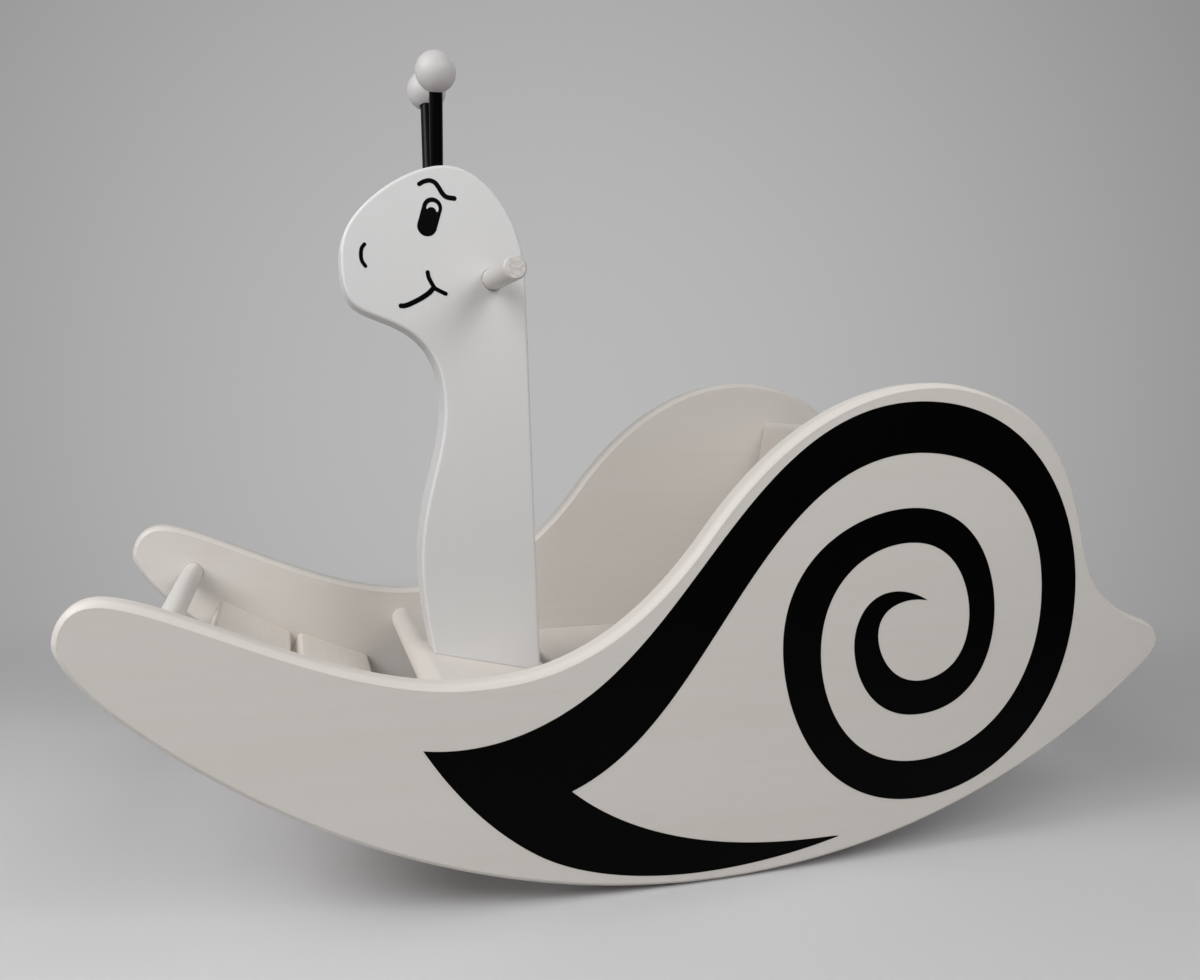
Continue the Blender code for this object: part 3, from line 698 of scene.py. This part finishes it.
board_glaze = glazed_wood("board_glaze", (0.705, 0.667, 0.632), 1, 0.35)
# The slats' glaze is the board glaze made lighter: painted light for the slats, which lie in shade deep
# between the front lobes.
slat_glaze_painted_light = glazed_wood("slat_glaze_painted_light", (0.810, 0.765, 0.715), 1, 0.35)
nose_radius = BOARD_THICKNESS / 2
edge = BOARD_EDGE_RADIUS
front_seat_line = rounded_corners(FRONT_SEAT.corners(), [nose_radius, edge, edge, nose_radius], NOSE_STEPS)
rear_seat_line = rounded_corners(REAR_SEAT.corners(), [edge] * 4, ROUND_STEPS)
front_slat_line = rounded_corners(FRONT_SLAT.corners(), [edge] * 4, ROUND_STEPS)
rear_slat_line = rounded_corners(REAR_SLAT.corners(), [edge] * 4, ROUND_STEPS)
for name, line, pin_names, glaze in (
    ("front_seat_board", front_seat_line, "front_seat_pin_", board_glaze),
    ("rear_seat_board", rear_seat_line, "rear_seat_pin_", board_glaze),
    ("backrest_board", backrest_line(), "backrest_pin_", board_glaze),
    ("front_foot_slat", front_slat_line, "front_slat_pin_", slat_glaze_painted_light),
    ("rear_foot_slat", rear_slat_line, "rear_slat_pin_", slat_glaze_painted_light),
):
    bores = []
    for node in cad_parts:
        if node.startswith(pin_names):
            low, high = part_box(node)
            mouth = math.copysign(BOARD_END_Y, low.y + high.y)
            bottom = math.copysign(min(abs(low.y), abs(high.y)) - PIN_END_ROOM, mouth)
            bores.append((*node_spot(node), PIN_BORE_RADIUS, mouth, bottom))
    drills = screw_drills(*SEAT_DRILL) if name == "front_seat_board" else ()
    board = planed_board("glazed_" + name, line, -BOARD_END_Y, BOARD_END_Y, BOARD_END_RIM, bores, glaze,
                         drills=drills)
    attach(board, "root")
    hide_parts(name)


# Neck and head
# One board, 38 mm thick, sawn to the snail's profile and rounded all round but for its foot.
# It stands on the front seat board. A through bore takes the handle bar.
NECK_HALF = 0.019
NECK_RIM = (0.0025, 90.0)
NECK_FOOT_X = -0.1566
NECK_FOOT_DIRECTION = 100.0
NECK_FOOT_REACH = 0.020
NECK_STEP = 0.0025
NECK_BACK_STEPS = 40
NECK_LINE = [
    # x, z, direction in degrees, reach in, reach out
    (-0.1647, 0.2085, 90.0, 0.0270, 0.0480),
    (-0.1456, 0.3258, 90.0, 0.0350, 0.0160),
    (-0.1655, 0.3806, 141.0, 0.0240, 0.0237),
    (-0.2139, 0.4066, 126.3, 0.0146, 0.0112),
    (-0.2209, 0.4410, 90.0, 0.0114, 0.0140),
    (-0.1940, 0.4865, 39.8, 0.0260, 0.0235),
    (-0.1416, 0.5093, 0.0, 0.0142, 0.0233),
    (-0.0910, 0.4677, -65.4, 0.0224, 0.0234),
    (-0.0809, 0.4004, -88.0, 0.0272, 0.0272),
]


def seat_z(x):
    """The height at x of the plane that the neck's foot stands on."""
    start = FRONT_SEAT.corner + FRONT_SEAT.up * FIT_GAP
    return start.y + FRONT_SEAT.along.y / FRONT_SEAT.along.x * (x - start.x)


def neck_line():
    """The board's outline, from the foot's front corner round the head to the foot's rear corner."""
    x, z, direction = NECK_LINE[-1][:3]
    slope = FRONT_SEAT.along.y / FRONT_SEAT.along.x
    run = heading(direction)
    drop = (z - seat_z(x)) / (slope * run.x - run.y)
    front_foot = (NECK_FOOT_X, seat_z(NECK_FOOT_X), NECK_FOOT_DIRECTION, 0.0, NECK_FOOT_REACH)
    line = sawn_line([front_foot] + NECK_LINE, NECK_STEP)
    back_foot = Vector((x, z)) + run * drop
    for step in range(1, NECK_BACK_STEPS):
        line.append(Vector((x, z)).lerp(back_foot, step / NECK_BACK_STEPS))
    line.append(back_foot)
    return line


neck_glaze = glazed_wood("neck_glaze", (0.673, 0.669, 0.668), 2, 0.2, warm=(0.95, 0.92, 0.88))
neck_outline = neck_line()
handle_bore = (*node_spot("handle_bar"), BAR_BORE_RADIUS, -NECK_HALF, NECK_HALF)
neck = planed_board("neck_and_head", neck_outline, -NECK_HALF, NECK_HALF, NECK_RIM, [handle_bore],
                    neck_glaze, sawn_foot=True, drills=screw_drills(*NECK_DRILL))
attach(neck, "root")
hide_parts("neck_board")


# Face
# An eye, a brow, a nostril, a smile and a cheek line on each side of the head, brushed on in black lacquer.
# The eye is a long round with a bare crescent left near its top.
BROW = [(-0.1627, 0.4941), (-0.1595, 0.4960), (-0.1551, 0.4971), (-0.1511, 0.4958), (-0.1484, 0.4926),
        (-0.1457, 0.4884), (-0.1427, 0.4858), (-0.1367, 0.4850)]
NOSTRIL = [(-0.2035, 0.4484), (-0.2055, 0.4456), (-0.2062, 0.4408), (-0.2055, 0.4362), (-0.2031, 0.4326)]
SMILE = [(-0.1776, 0.4042), (-0.1745, 0.4044), (-0.1683, 0.4070), (-0.1613, 0.4109), (-0.1564, 0.4145),
         (-0.1531, 0.4181)]
CHEEK = [(-0.1574, 0.4296), (-0.1566, 0.4258), (-0.1542, 0.4211), (-0.1522, 0.4181), (-0.1481, 0.4158),
         (-0.1440, 0.4140)]
EYE_TOP = Vector((-0.1533, 0.4775))
EYE_LOW = Vector((-0.1573, 0.4635))
EYE_RADIUS = 0.0074
EYE_STEPS = 32
# Each of these is a centre, a radius, the first and last direction in degrees, and steps
GLINT_OUTER = (Vector((-0.1531, 0.4769)), 0.0046, -33.0, 187.0, 28)
GLINT_INNER = (Vector((-0.1539, 0.4742)), 0.0036, 146.0, 6.0, 20)
STROKE_STEP = 0.0004
CAP_STEPS = 10


def stroke(path, width, taper=1.0):
    """The outline of a brush stroke along a few points, with round ends. Taper is the far end's share of the
    width."""
    spots = [Vector(point) for point in path]
    knots = []
    for index, spot in enumerate(spots):
        before = spots[max(index - 1, 0)]
        after = spots[min(index + 1, len(spots) - 1)]
        run = after - before
        reach_in = (spot - before).length / 3
        reach_out = (after - spot).length / 3
        knots.append((spot.x, spot.y, math.degrees(math.atan2(run.y, run.x)), reach_in, reach_out))
    line = sawn_line(knots, STROKE_STEP)
    left, right = [], []
    last = len(line) - 1
    for index, point in enumerate(line):
        run = (line[min(index + 1, last)] - line[max(index - 1, 0)]).normalized()
        half = width / 2 * (1 + (taper - 1) * index / last)
        across = Vector((-run.y, run.x)) * half
        left.append(point + across)
        right.append(point - across)

    def cap(centre, first):
        arm = first - centre
        corners = []
        for step in range(1, CAP_STEPS):
            turn = math.pi * step / CAP_STEPS
            corners.append(centre + Vector((
                arm.x * math.cos(turn) + arm.y * math.sin(turn),
                arm.y * math.cos(turn) - arm.x * math.sin(turn),
            )))
        return corners

    return left + cap(line[-1], left[-1]) + right[::-1] + cap(line[0], right[0])


def arc(centre, radius, start, finish, count):
    """Points on an arc from one direction to another, in degrees."""
    return [centre + radius * heading(start + (finish - start) * step / count) for step in range(count + 1)]


def eye_lines():
    """The long round of the eye and the crescent left bare in it."""
    run = EYE_TOP - EYE_LOW
    tilt = math.degrees(math.atan2(run.y, run.x))
    long_round = arc(EYE_TOP, EYE_RADIUS, tilt - 90.0, tilt + 90.0, EYE_STEPS)
    long_round += arc(EYE_LOW, EYE_RADIUS, tilt + 90.0, tilt + 270.0, EYE_STEPS)
    return [long_round, arc(*GLINT_OUTER) + arc(*GLINT_INNER)]


face_black = black_paint("face_black")
for side, hand in ((-1, "left"), (1, "right")):
    for part, lines, lift in (
        ("eye", eye_lines(), 0.0),
        ("brow", [stroke(BROW, 0.0033, 1.12)], 0.0),
        ("nostril", [stroke(NOSTRIL, 0.0028)], 0.0),
        ("cheek_line", [stroke(CHEEK, 0.0032)], 0.0),
        ("smile", [stroke(SMILE, 0.0037, 1.05)], 0.00005),
    ):
        mark = painted(hand + "_" + part, lines, side * (NECK_HALF + lift), side, face_black)
        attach(mark, "root")


# Round bars
# A crossbar between the front lobes, let into blind sockets, and the handle bar through the head. Both are
# turned beech, 17 mm thick, sawn off, chamfered at the ends and glazed. The crossbar's glaze is made lighter
# as painted light for the shade between the lobes, and the handle's glaze is darker.
BAR_RADIUS = 0.0085
BAR_SIDES = 72
END_FACE = 0.9


def bar_tree():
    """Geometry nodes: a round bar along Y with a chamfer at each end, from a line of four points."""
    tree = bpy.data.node_groups.new("round_bar", "GeometryNodeTree")
    face = tree.interface
    for socket_name, start in (("Radius", 0.01), ("Half Length", 0.16), ("Chamfer", 0.001)):
        socket = face.new_socket(socket_name, in_out="INPUT", socket_type="NodeSocketFloat")
        socket.default_value = start
    face.new_socket("Place", in_out="INPUT", socket_type="NodeSocketVector")
    face.new_socket("Finish", in_out="INPUT", socket_type="NodeSocketMaterial")
    face.new_socket("Bar", in_out="OUTPUT", socket_type="NodeSocketGeometry")
    nodes, links = tree.nodes, tree.links
    given = nodes.new("NodeGroupInput")
    made = nodes.new("NodeGroupOutput")

    def reckon(operation, first, second=None):
        node = nodes.new("ShaderNodeMath")
        node.operation = operation
        for socket, value in zip(node.inputs, (first, second)):
            if isinstance(value, (int, float)):
                socket.default_value = value
            elif value is not None:
                links.new(value, socket)
        return node.outputs[0]

    # Points 0 and 3 are the bar's ends, and 1 and 2 stand back from them by the chamfer
    line = nodes.new("GeometryNodeCurvePrimitiveLine")
    points = nodes.new("GeometryNodeResampleCurve")
    points.inputs["Count"].default_value = 4
    links.new(line.outputs["Curve"], points.inputs["Curve"])
    number = nodes.new("GeometryNodeInputIndex").outputs["Index"]
    side = reckon("SUBTRACT", reckon("MULTIPLY", reckon("GREATER_THAN", number, 1.5), 2.0), 1.0)
    from_middle = reckon("ABSOLUTE", reckon("SUBTRACT", number, 1.5))
    at_end = reckon("GREATER_THAN", from_middle, 1.0)
    chamfer = given.outputs["Chamfer"]
    set_back = reckon("MULTIPLY", chamfer, reckon("SUBTRACT", 1.0, at_end))
    distance = reckon("MULTIPLY", side, reckon("SUBTRACT", given.outputs["Half Length"], set_back))
    radius = reckon("SUBTRACT", given.outputs["Radius"], reckon("MULTIPLY", chamfer, at_end))
    spot = nodes.new("ShaderNodeCombineXYZ")
    links.new(distance, spot.inputs["Y"])
    moved = nodes.new("GeometryNodeSetPosition")
    links.new(points.outputs["Curve"], moved.inputs["Geometry"])
    links.new(spot.outputs["Vector"], moved.inputs["Position"])
    round_line = nodes.new("GeometryNodeCurvePrimitiveCircle")
    round_line.inputs["Resolution"].default_value = BAR_SIDES
    round_line.inputs["Radius"].default_value = 1.0
    sweep = nodes.new("GeometryNodeCurveToMesh")
    sweep.inputs["Fill Caps"].default_value = True
    links.new(moved.outputs["Geometry"], sweep.inputs["Curve"])
    links.new(round_line.outputs["Curve"], sweep.inputs["Profile Curve"])
    links.new(radius, sweep.inputs["Scale"])
    placed = nodes.new("GeometryNodeTransform")
    links.new(sweep.outputs["Mesh"], placed.inputs["Geometry"])
    links.new(given.outputs["Place"], placed.inputs["Translation"])
    realize = nodes.new("GeometryNodeRealizeInstances")
    finish = nodes.new("GeometryNodeSetMaterial")
    links.new(placed.outputs["Geometry"], realize.inputs["Geometry"])
    links.new(realize.outputs["Geometry"], finish.inputs["Geometry"])
    links.new(given.outputs["Finish"], finish.inputs["Material"])
    links.new(finish.outputs["Geometry"], made.inputs["Bar"])
    return tree


round_bar_tree = bar_tree()
# The crossbar's glaze is lighter than the other glazes: painted light for the shade between the front lobes.
crossbar_glaze_painted_light = glazed_wood("crossbar_glaze_painted_light", (0.755, 0.728, 0.700), 1, 0.3)
handle_glaze = glazed_wood("handle_glaze", (0.560, 0.540, 0.522), 1, 0.3)
for node, chamfer, bar_glaze in (
    ("crossbar", 0.0006, crossbar_glaze_painted_light),
    ("handle_bar", 0.0013, handle_glaze),
):
    x, z = node_spot(node)
    start = linked(node + "_start", bpy.data.meshes.new(node + "_start"))
    modifier = start.modifiers.new("bar", "NODES")
    modifier.node_group = round_bar_tree
    set_input(modifier, "Radius", BAR_RADIUS)
    set_input(modifier, "Half Length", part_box(node)[1].y)
    set_input(modifier, "Chamfer", chamfer)
    set_input(modifier, "Place", (x, 0.0, z))
    set_input(modifier, "Finish", bar_glaze)
    bar_mesh = settled_mesh(start)
    bpy.data.objects.remove(start)
    shape = bmesh.new()
    shape.from_mesh(bar_mesh)
    end_grain = shape.faces.layers.float.new("end_grain")
    for face in shape.faces:
        face[end_grain] = 1.0 if abs(face.normal.y) > END_FACE else 0.0
    bar = new_piece("turned_" + node, shape, bar_glaze)
    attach(bar, "root")
    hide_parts(node)


# Feelers
# Two stalks glued into the crown, spreading to the sides, in a glossier black lacquer than the shell figure.
# Each has a turned ball on its end, of beech, glazed white and bored to take the stalk.
BALL_RADIUS = 0.01496
BALL_PLACE = Vector((-0.1504, 0.026, 0.5741))
BALL_RINGS = 32
BALL_SIDES = 64
BALL_MOUTH_EASE = 0.0004
BALL_MOUTH_DEPTH = 0.0016
STALK_RADIUS = 0.005
STALK_SIDES = 48
STALK_TOP_CHAMFER = 0.0005
STALK_FOOT = Vector((-0.1498, 0.0052))
STALK_FOOT_DEPTH = 0.006
STALK_FOOT_GAP = 0.0002
STALK_STAGGER = 0.0021
STALK_IN_BALL = 0.012
CROWN_LOW_Z = 0.48


def crown_at(x):
    """The crown's point above x and its normal."""
    for first, second in zip(neck_outline, neck_outline[1:]):
        if first.y > CROWN_LOW_Z and first.x <= x <= second.x:
            run = (second - first).normalized()
            spot = first.lerp(second, (x - first.x) / (second.x - first.x))
            return spot, Vector((-run.y, 0.0, run.x))
    raise ValueError("no crown above this place")


stalk_black = black_paint("stalk_black", roughness=0.28, gloss=0.14)
ball_glaze = glazed_wood("ball_glaze", (0.553, 0.535, 0.533), 2, 0.3, warm=(0.96, 0.94, 0.91))
for side, hand in ((-1, "left"), (1, "right")):
    spot, normal = crown_at(STALK_FOOT.x - side * STALK_STAGGER)
    foot = Vector((spot.x, side * STALK_FOOT.y, spot.y))
    centre = Vector((BALL_PLACE.x, side * BALL_PLACE.y, BALL_PLACE.z))
    axis = (centre - foot).normalized()
    top = (centre - foot).length - (BALL_RADIUS - STALK_IN_BALL)
    stalk = turned(hand + "_stalk", foot, axis, [
        (-STALK_FOOT_DEPTH, 0.0), (-STALK_FOOT_DEPTH, STALK_RADIUS), (0.5 * top, STALK_RADIUS),
        (top - STALK_TOP_CHAMFER, STALK_RADIUS), (top, STALK_RADIUS - STALK_TOP_CHAMFER), (top, 0.0),
    ], STALK_SIDES, stalk_black)
    # The foot's ring slides along the stalk until it lies just above the crown
    for corner in stalk.data.vertices:
        if (corner.co - foot).dot(axis) < 0.0:
            height = (corner.co - foot).dot(normal)
            corner.co -= axis * ((height - STALK_FOOT_GAP) / axis.dot(normal))
    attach(stalk, "root")
    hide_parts(hand + "_feeler_stalk")
    bore = STALK_RADIUS + FIT_GAP
    bore_end = STALK_IN_BALL + FIT_GAP
    mouth_turn = math.asin((bore + BALL_MOUTH_EASE) / BALL_RADIUS)
    profile = [(bore_end, 0.0), (bore_end, bore), (BALL_MOUTH_DEPTH, bore)]
    for ring in range(BALL_RINGS + 1):
        turn = mouth_turn + (math.pi - mouth_turn) * ring / BALL_RINGS
        radius = 0.0 if ring == BALL_RINGS else BALL_RADIUS * math.sin(turn)
        profile.append((BALL_RADIUS - BALL_RADIUS * math.cos(turn), radius))
    ball = turned(hand + "_ball", centre - axis * BALL_RADIUS, axis, profile, BALL_SIDES, ball_glaze)
    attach(ball, "root")
    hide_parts(hand + "_feeler_ball")


# Pins and screws
# Twenty plain beech dowels, glued half in the panels and half in the boards' ends, and two zinc-plated wood
# screws up through the front seat board into the neck. Nothing of the pins shows on the finished toy.
def bare_beech(name):
    """Bare beech with its short dark flecks, along Y."""
    material, tree, shader, place = new_material(name)
    flecks = noise(tree, stretched(tree, place, (900.0, 90.0, 900.0)), 1.0)
    tone = mixed(tree, ranged(tree, flecks, 0.35, 0.62), (0.33, 0.20, 0.11), (0.60, 0.42, 0.26))
    tree.links.new(tone, shader.inputs["Base Color"])
    shader.inputs["Roughness"].default_value = 0.6
    return material


def zinc_plate(name):
    """Dull zinc plating, a little cloudy."""
    material, tree, shader, place = new_material(name)
    cloud = noise(tree, place, 500.0)
    tree.links.new(ranged(tree, cloud, 0.0, 1.0, 0.28, 0.48), shader.inputs["Roughness"])
    shader.inputs["Base Color"].default_value = (0.58, 0.58, 0.56, 1.0)
    shader.inputs["Metallic"].default_value = 1.0
    return material


pin_beech = bare_beech("pin_beech")
screw_zinc = zinc_plate("screw_zinc")
for node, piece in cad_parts.items():
    if "_pin_" in node or "_screw_" in node:
        piece.data.materials.clear()
        piece.data.materials.append(pin_beech if "_pin_" in node else screw_zinc)


# Floor, light and camera
# A pale floor that fades into a grey backdrop, brightest behind the toy's head, and eight soft lamps: most of
# the light comes from high at the left, some from the front, and little from the right and from behind.
CAMERA_PLACE = Vector((-0.2618, -0.81025, 0.3443))
CAMERA_RIGHT = Vector((0.95690, -0.29042, 0.00220))
CAMERA_DOWN = Vector((-0.02692, -0.09622, -0.99500))
CAMERA_AHEAD = Vector((0.28917, 0.95205, -0.09989))
PICTURE_WIDTH = 1200
PICTURE_HEIGHT = 980
FOCAL_PIXELS = 1030
SENSOR_WIDTH = 36.0
FLOOR_RADIUS = 1.3
FLOOR_SIDES = 96
FLOOR_FADE = (0.45, 1.15)


def floor_paper(name):
    """Pale paper near the toy, which gives way to the surround further out."""
    material, tree, shader, place = new_material(name)
    shader.inputs["Base Color"].default_value = (0.608, 0.606, 0.617, 1.0)
    shader.inputs["Roughness"].default_value = 0.8
    shader.inputs["Specular IOR Level"].default_value = 0.1
    distance = tree.nodes.new("ShaderNodeVectorMath")
    distance.operation = "LENGTH"
    tree.links.new(place, distance.inputs[0])
    fade = ranged(tree, distance.outputs["Value"], *FLOOR_FADE, curve="SMOOTHERSTEP")
    clear = tree.nodes.new("ShaderNodeBsdfTransparent")
    blend = tree.nodes.new("ShaderNodeMixShader")
    tree.links.new(fade, blend.inputs["Fac"])
    tree.links.new(shader.outputs["BSDF"], blend.inputs[1])
    tree.links.new(clear.outputs["BSDF"], blend.inputs[2])
    tree.links.new(blend.outputs["Shader"], tree.nodes["Material Output"].inputs["Surface"])
    return material


shape = bmesh.new()
bmesh.ops.create_circle(shape, cap_ends=True, segments=FLOOR_SIDES, radius=FLOOR_RADIUS)
floor_mesh = bpy.data.meshes.new("floor")
shape.to_mesh(floor_mesh)
shape.free()
floor_mesh.materials.append(floor_paper("floor_paper"))
floor = linked("floor", floor_mesh)
floor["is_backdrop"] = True

# The glow is a place in the picture, in pixels, and its reach is in degrees
BACKDROP_GLOW = (550, 410)
BACKDROP_REACH = 36.5
BACKDROP_BRIGHT = (0.484, 0.480, 0.484)
BACKDROP_DIM = (0.292, 0.288, 0.294)
EVEN_LIGHT = 0.107


def backdrop():
    """The surround: a grey backdrop for the camera, its gloss on the toy, and a little even light."""
    world = bpy.data.worlds.new("surround")
    world.use_nodes = True
    tree = world.node_tree
    nodes, links = tree.nodes, tree.links
    place = nodes.new("ShaderNodeTexCoord").outputs["Generated"]
    across = BACKDROP_GLOW[0] - PICTURE_WIDTH / 2
    below = BACKDROP_GLOW[1] - PICTURE_HEIGHT / 2
    glow = (CAMERA_AHEAD * FOCAL_PIXELS + CAMERA_RIGHT * across + CAMERA_DOWN * below).normalized()
    nearness = nodes.new("ShaderNodeVectorMath")
    nearness.operation = "DOT_PRODUCT"
    nearness.inputs[1].default_value = glow
    links.new(place, nearness.inputs[0])
    share = ranged(tree, nearness.outputs["Value"], math.cos(math.radians(BACKDROP_REACH)), 1.0)
    tone = mixed(tree, share, BACKDROP_DIM, BACKDROP_BRIGHT)
    seen = nodes.new("ShaderNodeBackground")
    links.new(tone, seen.inputs["Color"])
    # In gloss, the backdrop shows from behind the toy and fades out towards the camera's side
    parts = nodes.new("ShaderNodeSeparateXYZ")
    links.new(place, parts.inputs["Vector"])
    mirrored = nodes.new("ShaderNodeBackground")
    links.new(tone, mirrored.inputs["Color"])
    links.new(ranged(tree, parts.outputs["Y"], -0.1, 0.4, to_low=0.06), mirrored.inputs["Strength"])
    light = nodes["Background"]
    light.inputs["Color"].default_value = (1.0, 1.0, 1.0, 1.0)
    light.inputs["Strength"].default_value = EVEN_LIGHT
    path = nodes.new("ShaderNodeLightPath")
    straight = nodes.new("ShaderNodeMath")
    straight.operation = "MAXIMUM"
    links.new(path.outputs["Is Camera Ray"], straight.inputs[0])
    links.new(path.outputs["Is Transmission Ray"], straight.inputs[1])
    in_gloss = nodes.new("ShaderNodeMixShader")
    links.new(path.outputs["Is Glossy Ray"], in_gloss.inputs["Fac"])
    links.new(light.outputs["Background"], in_gloss.inputs[1])
    links.new(mirrored.outputs["Background"], in_gloss.inputs[2])
    choose = nodes.new("ShaderNodeMixShader")
    links.new(straight.outputs[0], choose.inputs["Fac"])
    links.new(in_gloss.outputs["Shader"], choose.inputs[1])
    links.new(seen.outputs["Background"], choose.inputs[2])
    links.new(choose.outputs["Shader"], nodes["World Output"].inputs["Surface"])
    return world


bpy.context.scene.world = backdrop()

LAMP_AIM = Vector((-0.08, 0.0, 0.28))
for name, place, size, power in (
    ("high_left", (-1.3, -0.3, 1.3), 0.8, 8.6),
    ("low_left", (-1.1, -0.3, 0.8), 0.5, 3.5),
    ("near_left", (-0.95, -0.7, 0.9), 0.5, 2.25),
    ("front_left", (-0.7, -0.9, 1.1), 0.5, 2.6),
    ("near_right", (0.4, -0.9, 1.1), 0.5, 3.75),
    ("low_front", (0.3, -1.2, 0.8), 0.5, 2.4),
    ("right", (0.9, -0.3, 1.2), 0.5, 2.0),
    ("behind", (0.9, 1.3, 1.6), 1.0, 2.4),
):
    data = bpy.data.lights.new(name, "AREA")
    data.shape = "SQUARE"
    data.size = size
    data.energy = power
    lamp = linked(name, data)
    lamp.location = place
    lamp.rotation_euler = (LAMP_AIM - Vector(place)).to_track_quat("-Z", "Y").to_euler()
    lamp.visible_camera = False

camera_data = bpy.data.cameras.new("camera")
camera_data.sensor_width = SENSOR_WIDTH
camera_data.lens = FOCAL_PIXELS * SENSOR_WIDTH / PICTURE_WIDTH
camera = linked("camera", camera_data)
turn = Matrix((CAMERA_RIGHT, -CAMERA_DOWN, -CAMERA_AHEAD)).transposed().to_4x4()
camera.matrix_world = Matrix.Translation(CAMERA_PLACE) @ turn
bpy.context.scene.camera = camera
bpy.context.scene.view_settings.view_transform = "Standard"

low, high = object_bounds()
